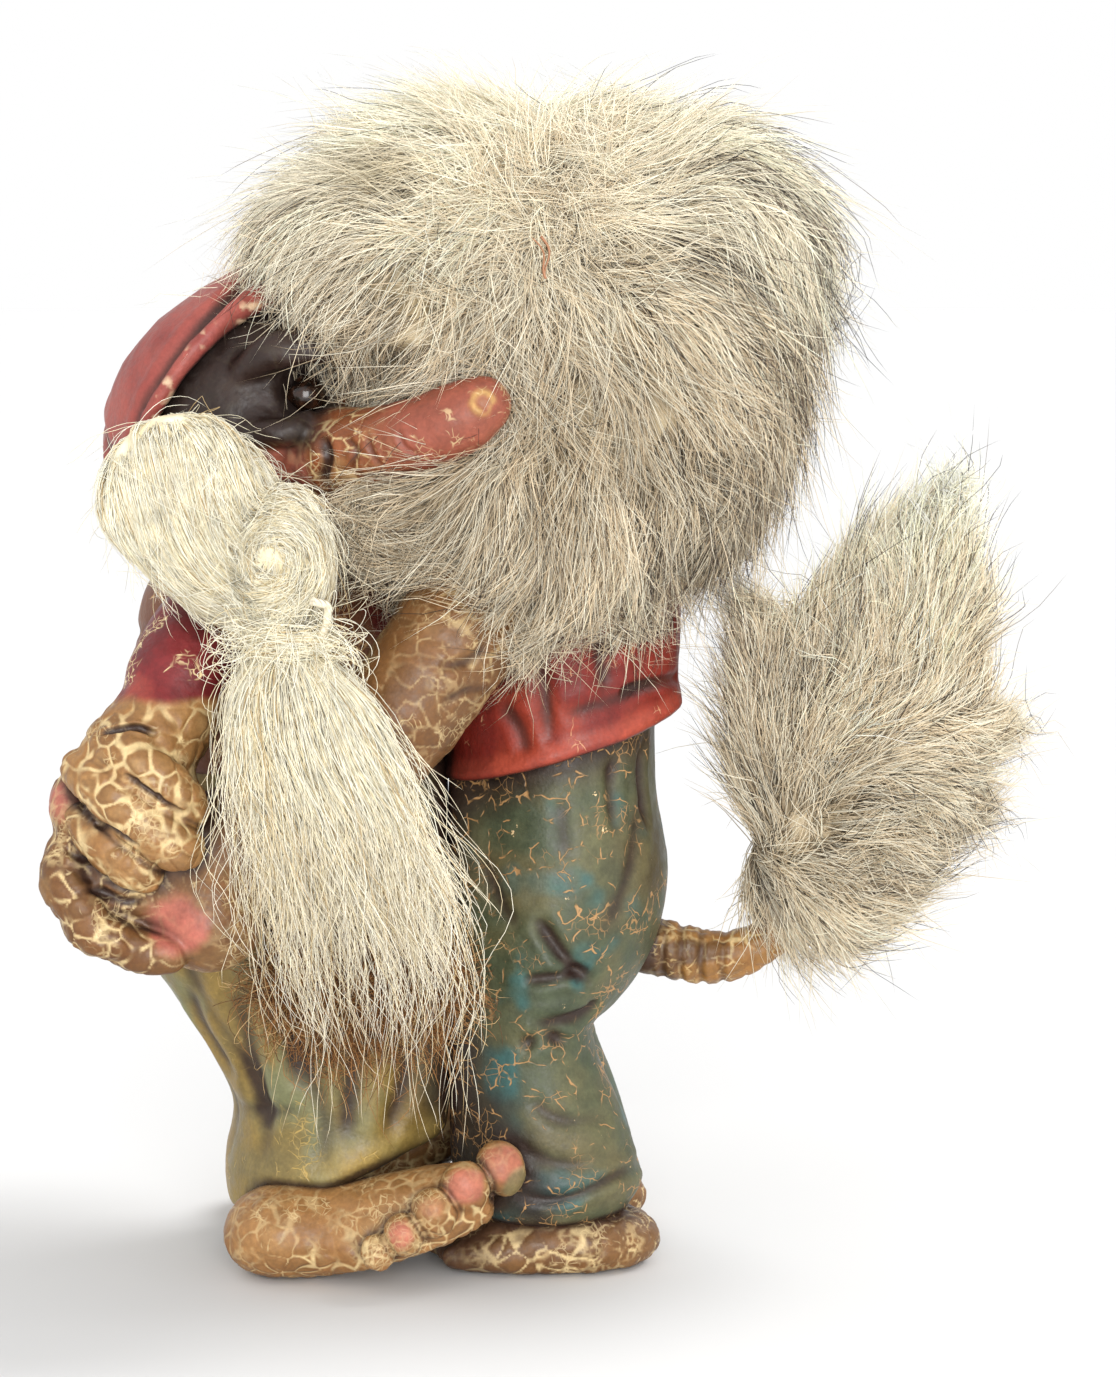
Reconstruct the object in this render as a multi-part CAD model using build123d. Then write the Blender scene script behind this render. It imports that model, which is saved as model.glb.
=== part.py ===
from build123d import *
import math
import os

# A dancing pair of trolls, an ornament of moulded natural rubber with glued-on fur and hair.
# Millimetres. +Z is up, +X runs from the scarf troll's back to the tailed troll's back,
# and the side that is usually looked at faces -Y.
#
# The shapes are laid out about a point between the feet, and the whole model is moved by
# ORIGIN_SHIFT at the end, so that the origin is at the bottom centre of its box.
#
# Pieces that are bonded together meet on flat faces: the trousers end and the shirt begins
# on the slanted plane of the hem, the heads stand on level collars, each arm starts on an
# upright face at the shoulder, and the clasped hands part on a slanted plane.

ORIGIN_SHIFT = (-10.7, 2.0, 0.0)

# ---- driving dimensions -------------------------------------------------------------

# tail: a round root that sits in a round hole in the seat of the trousers
TAIL_AXIS_Y = 2.0
TAIL_AXIS_Z = 61.0
TAIL_ROOT_R = 4.6
TAIL_HOLE_R = 4.65  # 0.05 mm of room all round
TAIL_RIM_R = 6.3  # shallow sunk rim round the hole
TAIL_HOLE_X0 = 17.0  # bottom of the hole
TAIL_ROOT_X0 = 17.5  # end of the root
TAIL_RIM_X0 = 28.9  # floor of the sunk rim
TAIL_ROOT_X1 = 29.3  # where the tail widens, just outside the hole
TAIL_WIRE_R = 0.8

# bonding planes
HEM_POINT, HEM_NORMAL = (-9.0, 0.0, 97.5), (-0.30, 0.0, 1.0)  # trousers below, shirt above
T_COLLAR_Z = 154.0
CUFF_Z = 11.0
S_WAIST_Z = 100.0
S_COLLAR_Z = 141.0
SKIRT_HEM_POINT, SKIRT_HEM_NORMAL = (-44.0, 0.0, 13.2), (-0.40, 0.0, 1.0)
BELLY_X = -10.4  # where the two bodies touch
SOLE_POINT, SOLE_NORMAL = (-12.0, 0.0, 8.2), (-0.36, 0.0, 1.0)  # foot on foot
SOLE_GAP = 0.05
HANDS_POINT, HANDS_NORMAL = (-66.0, -45.0, 93.5), (-0.30, -0.62, 0.72)  # hand on hand
GAP = 0.15  # glue line between curved faces that follow each other

# plaits: neck that the cotton tie goes round, and the string itself
TIE_Z = 129.5
TIE_NECK_R = 5.6
STRING_R = 0.8

HIDE_THICKNESS = 1.6
EYE_R = 3.4

# heads
T_HEAD = (8.0, 12.0, 178.0)
T_HEAD_R = (29.0, 28.0, 30.0)
S_HEAD = (-47.0, -8.0, 165.0)
S_HEAD_R = (26.0, 26.0, 28.5)
SCARF = (-48.5, -5.0, 165.5)
SCARF_R = (29.0, 31.0, 33.0)


# ---- shape helpers -----------------------------------------------------------------

def grown(radii, by):
    return tuple(r + by for r in radii)


def ring(centre, u, v, ru, rv, n=8):
    """A closed rounded outline in the plane of the unit vectors u and v."""
    pts = []
    for i in range(n):
        a = 2 * math.pi * i / n
        p, q = math.cos(a) * ru, math.sin(a) * rv
        pts.append(tuple(centre[k] + p * u[k] + q * v[k] for k in range(3)))
    return Wire([Edge.make_spline(pts, periodic=True)])


def stack(rows):
    """A solid lofted through level outlines: rows of (z, x, y, half width in x, half width in y)."""
    return Solid.make_loft([ring((x, y, z), (1, 0, 0), (0, 1, 0), rx, ry) for z, x, y, rx, ry in rows])


def ball(centre, radii, turn=(0, 0, 0)):
    """A rounded egg with the given semi-axes, turned about X, Y and Z in degrees."""
    rows = []
    for i in range(9):
        a = math.pi * (0.035 + 0.93 * i / 8)
        rows.append((-math.cos(a) * radii[2], 0, 0, math.sin(a) * radii[0], math.sin(a) * radii[1]))
    return Location(centre, turn) * stack(rows)


def unit(v):
    n = math.sqrt(sum(c * c for c in v))
    return tuple(c / n for c in v)


def cross(a, b):
    return (a[1] * b[2] - a[2] * b[1], a[2] * b[0] - a[0] * b[2], a[0] * b[1] - a[1] * b[0])


def limb(points, radii, up=(0, 1, 0), first=None, last=None):
    """A tapering limb lofted through outlines square to its line; first and last turn the end outlines."""
    wires = []
    for i, p in enumerate(points):
        a, b = points[max(i - 1, 0)], points[min(i + 1, len(points) - 1)]
        t = unit(tuple(b[k] - a[k] for k in range(3)))
        if i == 0 and first:
            t = unit(first)
        if i == len(points) - 1 and last:
            t = unit(last)
        ref = up if abs(sum(up[k] * t[k] for k in range(3))) < 0.9 else (0, 0, 1)
        u = unit(cross(ref, t))
        v = cross(t, u)
        r = radii[i] if isinstance(radii[i], tuple) else (radii[i], radii[i])
        wires.append(ring(p, u, v, r[0], r[1]))
    return Solid.make_loft(wires)


def side_of(point, normal, size=300):
    """A big block on the side of the plane that the normal points to."""
    return Plane(origin=point, z_dir=normal).location * Pos(0, 0, size / 2) * Box(size, size, size)


def flipped(v):
    return tuple(-c for c in v)


def below(z):
    """Everything under the level z, for cutting soles flat."""
    return side_of((0, 0, z), (0, 0, -1))


def above(z):
    return side_of((0, 0, z), (0, 0, 1))


def biggest(shape):
    """The largest solid of a shape, so that a trimmed piece leaves no loose crumbs."""
    return max(shape.solids(), key=lambda s: s.volume)


# ---- tailed troll: trousers, shirt, feet ----------------------------------------------

t_trousers = stack(
    [
        (50, 8.0, 0.0, 14.0, 24.5),
        (57, 9.0, 0.0, 19.2, 26.6),
        (66, 10.8, 0.0, 21.4, 27.4),
        (78, 12.2, 0.0, 21.6, 27.2),
        (92, 12.0, 0.0, 19.6, 25.5),
        (104, 12.4, 0.0, 18.6, 24.0),
        (118, 13.0, 0.0, 18.0, 23.0),
    ]
)
t_trousers = t_trousers - side_of(HEM_POINT, HEM_NORMAL)
for side in (-1, 1):
    back = 1.5 if side > 0 else 0.0
    t_trousers = t_trousers + stack(
        [
            (CUFF_Z, 9.8 - back, 14.0 * side, 15.6, 12.6),
            (20, 11.0 - back, 14.0 * side, 16.8, 13.4),
            (31, 9.2 - back, 13.6 * side, 15.4, 12.8),
            (41, 7.4 - back * 0.5, 12.8 * side, 12.9, 12.0),
            (50, 7.6, 12.2 * side, 11.6, 11.0),
        ]
    )
t_trousers = t_trousers - side_of((BELLY_X, 0, 0), (-1, 0, 0))
tail_hole = Pos(TAIL_HOLE_X0 + 15, TAIL_AXIS_Y, TAIL_AXIS_Z) * Rot(0, 90, 0) * Cylinder(TAIL_HOLE_R, 30)
tail_rim = Pos(TAIL_RIM_X0 + 10, TAIL_AXIS_Y, TAIL_AXIS_Z) * Rot(0, 90, 0) * Cylinder(TAIL_RIM_R, 20)
t_trousers = biggest(t_trousers - tail_rim - tail_hole)

SHIRT_ROWS = [
    (88, 12.5, 0.0, 21.6, 26.5),
    (104, 12.0, 0.0, 22.6, 27.6),
    (118, 11.5, 0.0, 23.6, 29.0),
    (132, 11.5, 0.0, 24.0, 30.0),
    (144, 10.5, 0.0, 22.0, 28.0),
    (T_COLLAR_Z, 9.0, 3.0, 16.0, 19.0),
]
T_SHOULDER_Y = 24.5
T_SHOULDER = Box(34, 20, 40)
t_shirt = stack(SHIRT_ROWS)
t_shirt = t_shirt - side_of(HEM_POINT, flipped(HEM_NORMAL))
t_shirt = t_shirt - Pos(3, -T_SHOULDER_Y - 10, 136) * T_SHOULDER
t_shirt = biggest(t_shirt - Pos(3, T_SHOULDER_Y + 10, 132) * T_SHOULDER)


def flat_foot(cx, cy, turn):
    """A stubby foot on a flat sole, cut level under the trouser cuff and sloped under the partner's sole."""
    foot = Location((cx, cy, 0), (0, 0, turn)) * ball((0, 0, 5.6), (22.5, 12.8, 8.4))
    foot = foot - below(0) - above(CUFF_Z)
    return biggest(foot)


def stepping_cut(shape):
    """Takes away what lies over the partner's sloping sole, ahead of the trousers."""
    wedge = side_of((SOLE_POINT[0], SOLE_POINT[1], SOLE_POINT[2] - SOLE_GAP), SOLE_NORMAL) & side_of((BELLY_X + 5.4, 0, 0), (-1, 0, 0))
    return biggest(shape - wedge)


t_left_foot = stepping_cut(flat_foot(9.6, -15.0, 2))
t_right_foot = stepping_cut(flat_foot(7.6, 16.0, -4))

# ---- scarf troll: skirt, bodice, feet ---------------------------------------------------

s_skirt = stack(
    [
        (8, -34.0, 0.0, 20.5, 23.0),
        (18, -33.0, 0.0, 22.4, 24.0),
        (30, -32.8, 0.0, 21.6, 24.0),
        (41, -34.8, 0.0, 24.4, 25.0),
        (52, -38.0, 0.0, 28.0, 26.2),
        (62, -41.0, 0.0, 31.0, 26.8),
        (78, -43.0, 0.0, 31.0, 26.0),
        (90, -44.0, 0.0, 28.6, 24.6),
        (S_WAIST_Z, -45.0, 0.0, 26.6, 23.6),
    ]
)
s_skirt = s_skirt - side_of(SKIRT_HEM_POINT, flipped(SKIRT_HEM_NORMAL))
s_skirt = s_skirt - below(12.5)
s_skirt = biggest(s_skirt - side_of((BELLY_X, 0, 0), (1, 0, 0)))

s_bodice = stack(
    [
        (S_WAIST_Z, -45.0, 0.0, 27.0, 24.0),
        (110, -45.5, -0.5, 27.4, 24.6),
        (122, -46.0, -1.0, 26.6, 24.2),
        (133, -47.0, -2.0, 23.6, 22.2),
        (S_COLLAR_Z, -47.5, -4.0, 18.0, 18.0),
    ]
)
S_SHOULDER_Y = 19.5
S_SHOULDER = Box(36, 20, 34)
s_bodice = s_bodice - Pos(-53, -S_SHOULDER_Y - 10, 127) * S_SHOULDER
s_bodice = biggest(s_bodice - Pos(-47, S_SHOULDER_Y + 10, 127) * S_SHOULDER)


def dancing_foot(cy, turn, leg_x):
    """A foot that rests on its heel, with the rest of its sole sloping up over the partner's toes
    and its inner side flat against the partner's trouser leg."""
    side = -1 if cy < 0 else 1
    foot = Location((-25.0, cy, 13.0), (0, 0, turn)) * ball((0, 0, 0), (31.0, 11.6, 11.5), (0, -17, 0))
    foot = foot - below(0)
    foot = foot - side_of(SOLE_POINT, flipped(SOLE_NORMAL))
    foot = foot - side_of(SKIRT_HEM_POINT, SKIRT_HEM_NORMAL)
    foot = foot - side_of((leg_x, 22.0 * side, 0), (0.752, -0.66 * side, 0))
    return biggest(foot)


s_right_foot = dancing_foot(-22.5, 3, -3.4)
s_left_foot = dancing_foot(22.5, -3, -4.9)

# ---- heads and eyes -------------------------------------------------------------------

S_EYES = [(-35.5, -29.0, 174.5), (-25.6, -17.5, 173.0)]
S_NOSE = [(-34, -24, 162), (-25, -36.5, 164), (-15, -43.5, 167), (-5, -46.5, 171), (-1.5, -47, 172.5)]
S_NOSE_R = [8.6, 7.6, 6.6, 6.2, 3.2]


def eye_place(centre, head):
    """A frame at the eye, with its z axis straight out of the head."""
    return Plane(origin=centre, z_dir=unit(tuple(centre[k] - head[k] for k in range(3)))).location


def eye(centre, head):
    """A domed bead with a short round stem."""
    dome = Pos(0, 0, -1.9) * Sphere(math.hypot(EYE_R, 1.9)) & Pos(0, 0, 10) * Box(20, 20, 20)
    return biggest(eye_place(centre, head) * (dome + Pos(0, 0, -1.5) * Cylinder(EYE_R, 3.0)))


def socket(centre, head, radius=EYE_R + 0.1):
    """The flat-bottomed round pocket that an eye's stem sits in."""
    return eye_place(centre, head) * Pos(0, 0, -3.0 + 10) * Cylinder(radius, 20)


s_head = ball(S_HEAD, S_HEAD_R) - below(S_COLLAR_Z)
s_head = s_head + limb(S_NOSE, S_NOSE_R, (0, 0, 1))
s_eyes = [eye(c, S_HEAD) for c in S_EYES]
for c in S_EYES:
    s_head = s_head - socket(c, S_HEAD)
s_head = biggest(s_head)

T_EYES = [(-17.5, 26.2, 181.5), (-6.8, 36.0, 181.5)]
t_head = ball(T_HEAD, T_HEAD_R) - below(T_COLLAR_Z)
t_eyes = [eye(c, T_HEAD) for c in T_EYES]
for c in T_EYES:
    t_head = t_head - socket(c, T_HEAD)
T_NOSE = [(-8, 26, 170), (-17, 36, 168), (-26, 46, 166.5), (-31, 51, 166), (-32.5, 52.5, 166)]
t_head = biggest(t_head + limb(T_NOSE, [8.6, 7.6, 6.8, 5.6, 3.0], (0, 0, 1)))

# headscarf: a shell over the back and top of the head, open towards the face
s_scarf = ball(SCARF, SCARF_R) - ball(S_HEAD, grown(S_HEAD_R, GAP))
s_scarf = s_scarf - side_of((-38.5, -17.0, 166.0), (0.78, -0.62, 0.06))
s_scarf = biggest(s_scarf - below(S_COLLAR_Z))

# ---- arms -----------------------------------------------------------------------------

# clasped hands on the near side: the scarf troll's right hand lies on the partner's left hand
s_right_arm = limb(
    [(-51, -S_SHOULDER_Y, 129.5), (-55, -29.5, 125.5), (-60, -38, 118), (-65, -44, 108), (-69, -49, 99), (-71, -51, 92)],
    [10.5, 11.2, 10.4, 9.8, (9.5, 13.0), (7.0, 10.0)], (0, 1, 0), first=(0, -1, 0),
)
s_right_arm = biggest(s_right_arm - side_of(HANDS_POINT, flipped(HANDS_NORMAL)))

T_LEFT_ARM = [(5, -T_SHOULDER_Y, 141), (-2, -34, 135), (-10, -40, 122), (-20, -42, 110), (-34, -42, 100.5),
              (-47, -42.5, 92), (-60, -43, 85.5), (-72, -43.5, 84.5), (-81, -43.5, 87)]
T_LEFT_ARM_R = [11.5, 12.6, 13.0, 12.0, 10.2, 10.4, 14.6, 14.6, 7.5]
t_left_arm = limb(T_LEFT_ARM, [(r, min(r, 11.0)) if i > 4 else r for i, r in enumerate(T_LEFT_ARM_R)],
                  (0, 1, 0), first=(0, -1, 0))
t_left_arm = t_left_arm - side_of((0, -T_SHOULDER_Y, 0), (0, 1, 0))
t_left_arm = biggest(t_left_arm - (side_of(HANDS_POINT, HANDS_NORMAL) & side_of((-50, 0, 0), (-1, 0, 0))))

# far side: the tailed troll's right arm goes round the partner's back
t_right_arm = limb(
    [(4, T_SHOULDER_Y, 136), (-3, 34, 129), (-16, 40, 117), (-32, 40.5, 109)],
    [11.5, 12.0, 11.0, 10.4], (0, 0, 1), first=(0, 1, 0), last=(-1, 0, -0.3),
) - side_of((0, T_SHOULDER_Y, 0), (0, -1, 0))
t_right_arm = t_right_arm + limb(
    [(-32, 40.5, 109), (-48, 39, 105), (-61, 34, 103.5), (-71, 25.5, 103), (-77, 14, 103)],
    [10.4, 9.6, 8.8, 8.4, 5.6], (0, 0, 1), first=(-1, 0, -0.3),
)
t_right_arm = biggest(t_right_arm)
# and the scarf troll's left arm goes up to the partner's shoulder
s_left_arm = limb(
    [(-45, S_SHOULDER_Y, 129.5), (-41, 29, 132.5), (-32, 37.5, 138), (-20, 42, 143), (-7, 43, 147.5), (6, 40.5, 150),
     (14, 38.5, 149.5)],
    [9.6, 9.8, 9.4, 8.8, 8.2, 8.4, 4.5], (0, 0, 1), first=(0, 1, 0),
)

# ---- tail -------------------------------------------------------------------------------

TAIL_PATH = [
    (TAIL_ROOT_X1, TAIL_AXIS_Z),
    (36.5, 59.4),
    (44.0, 58.4),
    (50.5, 60.2),
    (56.5, 64.0),
    (61.0, 69.0),
]
TAIL_R = [5.4, 5.4, 4.9, 4.4, 3.8, 3.0]
tail_wires = []
for i, (x, z) in enumerate(TAIL_PATH):
    a, b = TAIL_PATH[max(i - 1, 0)], TAIL_PATH[min(i + 1, len(TAIL_PATH) - 1)]
    n = math.hypot(b[0] - a[0], b[1] - a[1])
    t = (1.0, 0.0) if i == 0 else ((b[0] - a[0]) / n, (b[1] - a[1]) / n)
    tail_wires.append(ring((x, TAIL_AXIS_Y, z), (-t[1], 0, t[0]), (0, 1, 0), TAIL_R[i], TAIL_R[i]))
tail = Solid.make_loft(tail_wires)
tail = tail + Pos((TAIL_ROOT_X0 + TAIL_ROOT_X1) / 2, TAIL_AXIS_Y, TAIL_AXIS_Z) * Rot(0, 90, 0) * Cylinder(
    TAIL_ROOT_R, TAIL_ROOT_X1 - TAIL_ROOT_X0
)

# soft iron wire along the middle of the tail, from inside the root to the tuft
wire_line = FilletPolyline(
    [(TAIL_ROOT_X0 + 3, TAIL_AXIS_Y, TAIL_AXIS_Z), (33.0, TAIL_AXIS_Y, TAIL_AXIS_Z), (40.0, TAIL_AXIS_Y, 58.7),
     (48.0, TAIL_AXIS_Y, 59.0), (55.5, TAIL_AXIS_Y, 63.2), (66.0, TAIL_AXIS_Y, 75.0)],
    radius=[6, 6, 6, 6],
)
tail_wire = biggest(sweep(Plane(origin=wire_line @ 0, z_dir=wire_line % 0) * Circle(TAIL_WIRE_R), path=wire_line))
tail = biggest(tail - tail_wire)

tail_tuft = ball((72.0, 2.0, 98.0), (31.5, 21.0, 41.0), (0, 8, 0)) + ball(
    (85.0, 2.0, 127.0), (18.5, 16.0, 31.0), (0, 14, 0)
)
tail_tuft = biggest(tail_tuft - tail - tail_wire)

# ---- plaits ------------------------------------------------------------------------------

def tie(x, y, side):
    """Two turns of cotton string round a plait, with one curled free end."""
    r0 = TIE_NECK_R + STRING_R + 0.02
    band = Pos(x, y, TIE_Z - STRING_R * 0.94) * Torus(r0, STRING_R)
    band = band + Pos(x, y, TIE_Z + STRING_R * 0.94) * Torus(r0, STRING_R)
    path = FilletPolyline(
        [
            (x + r0 * 0.75, y + side * r0 * 0.66, TIE_Z),
            (x + r0 * 1.1, y + side * r0 * 0.9, TIE_Z + 3.5),
            (x + r0 * 1.2, y + side * r0 * 1.0, TIE_Z + 7.5),
            (x + r0 * 0.75, y + side * r0 * 1.35, TIE_Z + 8.6),
        ],
        radius=[1.7, 1.3],
    )
    end = sweep(Plane(origin=path @ 0, z_dir=path % 0) * Circle(STRING_R * 0.96), path=path)
    return biggest(band + end)


def neck(x, y, z0, z1):
    return Pos(x, y, (z0 + z1) / 2) * Cylinder(TIE_NECK_R, z1 - z0)


NEAR_TIE = (-38.0, -50.5)
TIE_ROOM = 2 * STRING_R + 0.1
near_bunch = ball((-58.0, -45.5, 152.0), (19.5, 9.5, 21.0), (0, -18, 0))
near_bunch = near_bunch + ball((-38.6, -49.6, 144.5), (8.8, 7.8, 15.0))
near_bunch = near_bunch - below(TIE_Z + TIE_ROOM)
near_bunch = biggest(near_bunch + neck(*NEAR_TIE, TIE_Z, TIE_Z + 7))
near_tie = tie(*NEAR_TIE, -1)
near_end = stack(
    [
        (TIE_Z - TIE_ROOM, -38.0, -50.5, 7.0, 6.4),
        (119, -36.5, -54.0, 10.5, 6.6),
        (108, -34.5, -58.0, 14.0, 5.6),
        (95, -32.0, -59.6, 18.0, 5.6),
        (80, -29.0, -58.6, 22.5, 6.0),
        (66, -27.5, -54.0, 25.0, 6.4),
        (53, -26.0, -48.5, 20.0, 5.0),
    ]
)
near_end = biggest(near_end + neck(*NEAR_TIE, TIE_Z - TIE_ROOM, TIE_Z))
near_wool = biggest(ball((-27.0, -27.5, 61.0), (26.0, 11.5, 17.5)) - side_of((0, -27.5, 0), (0, 1, 0)))

FAR_TIE = (-57.0, 47.0)
far_bunch = ball((-63.0, 39.5, 152.0), (16.5, 9.5, 20.5), (0, -12, 0))
far_bunch = far_bunch + ball((-57.0, 45.5, 144.5), (8.8, 7.8, 15.0))
far_bunch = far_bunch - below(TIE_Z + TIE_ROOM)
far_bunch = biggest(far_bunch + neck(*FAR_TIE, TIE_Z, TIE_Z + 7))
far_tie = tie(*FAR_TIE, 1)
far_end = stack(
    [
        (TIE_Z - TIE_ROOM, -57.0, 47.0, 7.0, 6.4),
        (119, -56.5, 52.0, 10.5, 6.0),
        (107, -55.5, 55.5, 14.0, 5.6),
        (94, -54.0, 55.0, 17.5, 5.6),
        (80, -52.0, 49.5, 20.5, 6.0),
        (67, -49.0, 42.5, 20.0, 6.0),
        (56, -46.0, 36.5, 15.0, 5.0),
    ]
)
far_end = biggest(far_end + neck(*FAR_TIE, TIE_Z - TIE_ROOM, TIE_Z))

# ---- the tailed troll's hair ---------------------------------------------------------------

# a hide cap glued over the back and top of the head
FACE_POINT, FACE_NORMAL = (-4.0, 22.0, 170.0), (-0.62, 0.62, -0.48)
hair_hide = ball(T_HEAD, grown(T_HEAD_R, HIDE_THICKNESS)) - ball(T_HEAD, grown(T_HEAD_R, GAP))
hair_hide = hair_hide - side_of(FACE_POINT, FACE_NORMAL)
hair_hide = biggest(hair_hide - below(T_COLLAR_Z + 2))

hair = ball((12.0, 2.0, 189.0), (57.0, 47.0, 41.5))
hair = hair + ball((32.0, 2.0, 170.0), (38.0, 42.0, 36.0), (0, 12, 0))
hair = hair + ball((12.0, -14.0, 153.0), (29.0, 31.0, 28.0))
hair = hair + ball((-20.0, -13.0, 190.0), (29.0, 32.0, 29.0))
hair = hair - ball(T_HEAD, grown(T_HEAD_R, HIDE_THICKNESS + GAP))
hair = hair - side_of(FACE_POINT, FACE_NORMAL)
hair = hair - ball(SCARF, grown(SCARF_R, 0.3))
hair = hair - stack([(z, x, y, rx + 0.3, ry + 0.3) for z, x, y, rx, ry in SHIRT_ROWS])
hair = hair - limb(T_LEFT_ARM[:5], [r + 1.4 for r in T_LEFT_ARM_R[:5]], (0, 1, 0), first=(0, -1, 0))
hair = hair - limb(S_NOSE, [r + 0.4 for r in S_NOSE_R], (0, 0, 1))
for c in S_EYES:
    hair = hair - socket(c, S_HEAD, EYE_R + 0.9)
hair = biggest(hair)

# ---- write every piece ----------------------------------------------------------------------

pieces = {
    "tailed_troll_trousers": [t_trousers],
    "tailed_troll_shirt": [t_shirt],
    "tailed_troll_head": [t_head],
    "tailed_troll_left_arm": [t_left_arm],
    "tailed_troll_right_arm": [t_right_arm],
    "tailed_troll_left_foot": [t_left_foot],
    "tailed_troll_right_foot": [t_right_foot],
    "tailed_troll_eyes": t_eyes,
    "tailed_troll_hair_hide": [hair_hide],
    "tailed_troll_hair": [hair],
    "tail": [tail],
    "tail_wire": [tail_wire],
    "tail_tuft": [tail_tuft],
    "scarf_troll_skirt": [s_skirt],
    "scarf_troll_bodice": [s_bodice],
    "scarf_troll_head": [s_head],
    "scarf_troll_headscarf": [s_scarf],
    "scarf_troll_right_arm": [s_right_arm],
    "scarf_troll_left_arm": [s_left_arm],
    "scarf_troll_right_foot": [s_right_foot],
    "scarf_troll_left_foot": [s_left_foot],
    "scarf_troll_eyes": s_eyes,
    "near_plait_bunch": [near_bunch],
    "near_plait_end": [near_end],
    "near_plait_tie": [near_tie],
    "near_plait_underwool": [near_wool],
    "far_plait_bunch": [far_bunch],
    "far_plait_end": [far_end],
    "far_plait_tie": [far_tie],
}

os.makedirs("parts", exist_ok=True)
low, high = [1e9] * 3, [-1e9] * 3
for name, solids in pieces.items():
    placed = [Location(ORIGIN_SHIFT) * s for s in solids]
    flat = [x for p in placed for x in p.solids()]
    shape = flat[0] if len(flat) == 1 else Compound(children=flat)
    export_step(shape, f"parts/{name}.step")
    b = shape.bounding_box()
    for k, (lo, hi) in enumerate(((b.min.X, b.max.X), (b.min.Y, b.max.Y), (b.min.Z, b.max.Z))):
        low[k], high[k] = min(low[k], lo), max(high[k], hi)
print("box", [round(v, 2) for v in low], [round(v, 2) for v in high])
print("centre", round((low[0] + high[0]) / 2, 3), round((low[1] + high[1]) / 2, 3), "bottom", round(low[2], 3))
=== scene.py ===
import bpy
import math
import time
import numpy as np
from mathutils import Vector, Matrix

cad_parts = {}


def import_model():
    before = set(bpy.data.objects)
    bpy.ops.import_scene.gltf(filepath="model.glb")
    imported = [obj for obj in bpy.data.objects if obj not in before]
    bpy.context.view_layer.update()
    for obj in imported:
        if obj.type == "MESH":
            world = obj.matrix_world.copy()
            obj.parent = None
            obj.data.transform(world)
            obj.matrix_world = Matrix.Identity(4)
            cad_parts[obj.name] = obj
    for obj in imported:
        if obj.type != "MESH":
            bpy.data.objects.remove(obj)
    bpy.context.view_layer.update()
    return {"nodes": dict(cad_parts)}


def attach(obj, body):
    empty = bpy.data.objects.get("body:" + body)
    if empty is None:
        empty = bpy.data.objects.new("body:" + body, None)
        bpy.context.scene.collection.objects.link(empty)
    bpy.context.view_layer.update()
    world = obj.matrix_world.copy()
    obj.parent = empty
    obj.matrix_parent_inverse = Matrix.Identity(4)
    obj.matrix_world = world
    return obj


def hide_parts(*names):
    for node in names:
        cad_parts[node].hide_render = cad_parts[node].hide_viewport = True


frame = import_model()
T0 = time.time()

# Every shape below is laid out in millimetres about the same point as the CAD source, and moved by SHIFT
# when its mesh is made. F is a 32-bit float, which keeps the sculpting quick.
F = np.float32
SHIFT = np.array([-10.7, 2.0, 0.0])


def log(text):
    print(f"[{time.time() - T0:6.1f}s] {text}", flush=True)


# ---- camera model -----------------------------------------------------------------------

ELEV, DIST = math.radians(8.0), 700.0
TARGET = np.array([11.6, 0.0, 113.7])
FW = np.array([0.0, math.cos(ELEV), -math.sin(ELEV)])
UPV = np.array([0.0, math.sin(ELEV), math.cos(ELEV)])
RT = np.array([1.0, 0.0, 0.0])
EYE = TARGET - DIST * FW


def at(u, v, y):
    """The point at depth y that lies behind the picture point (u, v)."""
    d = FW * DIST + RT * (u - 558) / 5.0 + UPV * (688.5 - v) / 5.0
    return EYE + d * ((y - EYE[1]) / d[1])


def picture(p):
    """The picture point (u, v) of every point."""
    q = p - EYE
    d = q @ FW
    return 558 + 5 * DIST * (q @ RT) / d, 688.5 - 5 * DIST * (q @ UPV) / d


def hit(f, uvs, y0=-75.0, y1=60.0):
    """The points where the lines of sight through the picture points (u, v) first meet the surface f."""
    out = []
    for u, v in uvs:
        ys = np.linspace(y0, y1, 300)
        d = FW * DIST + RT * (u - 558) / 5.0 + UPV * (688.5 - v) / 5.0
        pts = EYE + d * ((ys - EYE[1]) / d[1])[:, None]
        val = f(pts.astype(F))
        inside = np.nonzero(val < 0)[0]
        if len(inside):
            i = max(inside[0], 1)
            t = val[i - 1] / (val[i - 1] - val[i] + 1e-9)
            out.append(pts[i - 1] + (pts[i] - pts[i - 1]) * float(t))
        else:
            out.append(pts[int(np.argmin(val))])
    return np.array(out, F)


# ---- implicit shapes: each is a function of (N, 3) points, negative inside, in millimetres -------------

def length(v):
    return np.sqrt(np.einsum("ij,ij->i", v, v))


def rot(rx=0, ry=0, rz=0):
    m = Matrix.Rotation(math.radians(rx), 3, "X") @ Matrix.Rotation(math.radians(ry), 3, "Y") @ Matrix.Rotation(math.radians(rz), 3, "Z")
    return np.array(m, F)


def egg(c, r, turn=None):
    c, r = np.array(c, F), np.array(r, F)
    m = rot(*turn) if turn else None

    def f(p):
        q = p - c
        if m is not None:
            q = q @ m
        a = length(q / r)
        b = length(q / (r * r))
        return a * (a - 1) / np.maximum(b, 1e-6)
    return f


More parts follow.
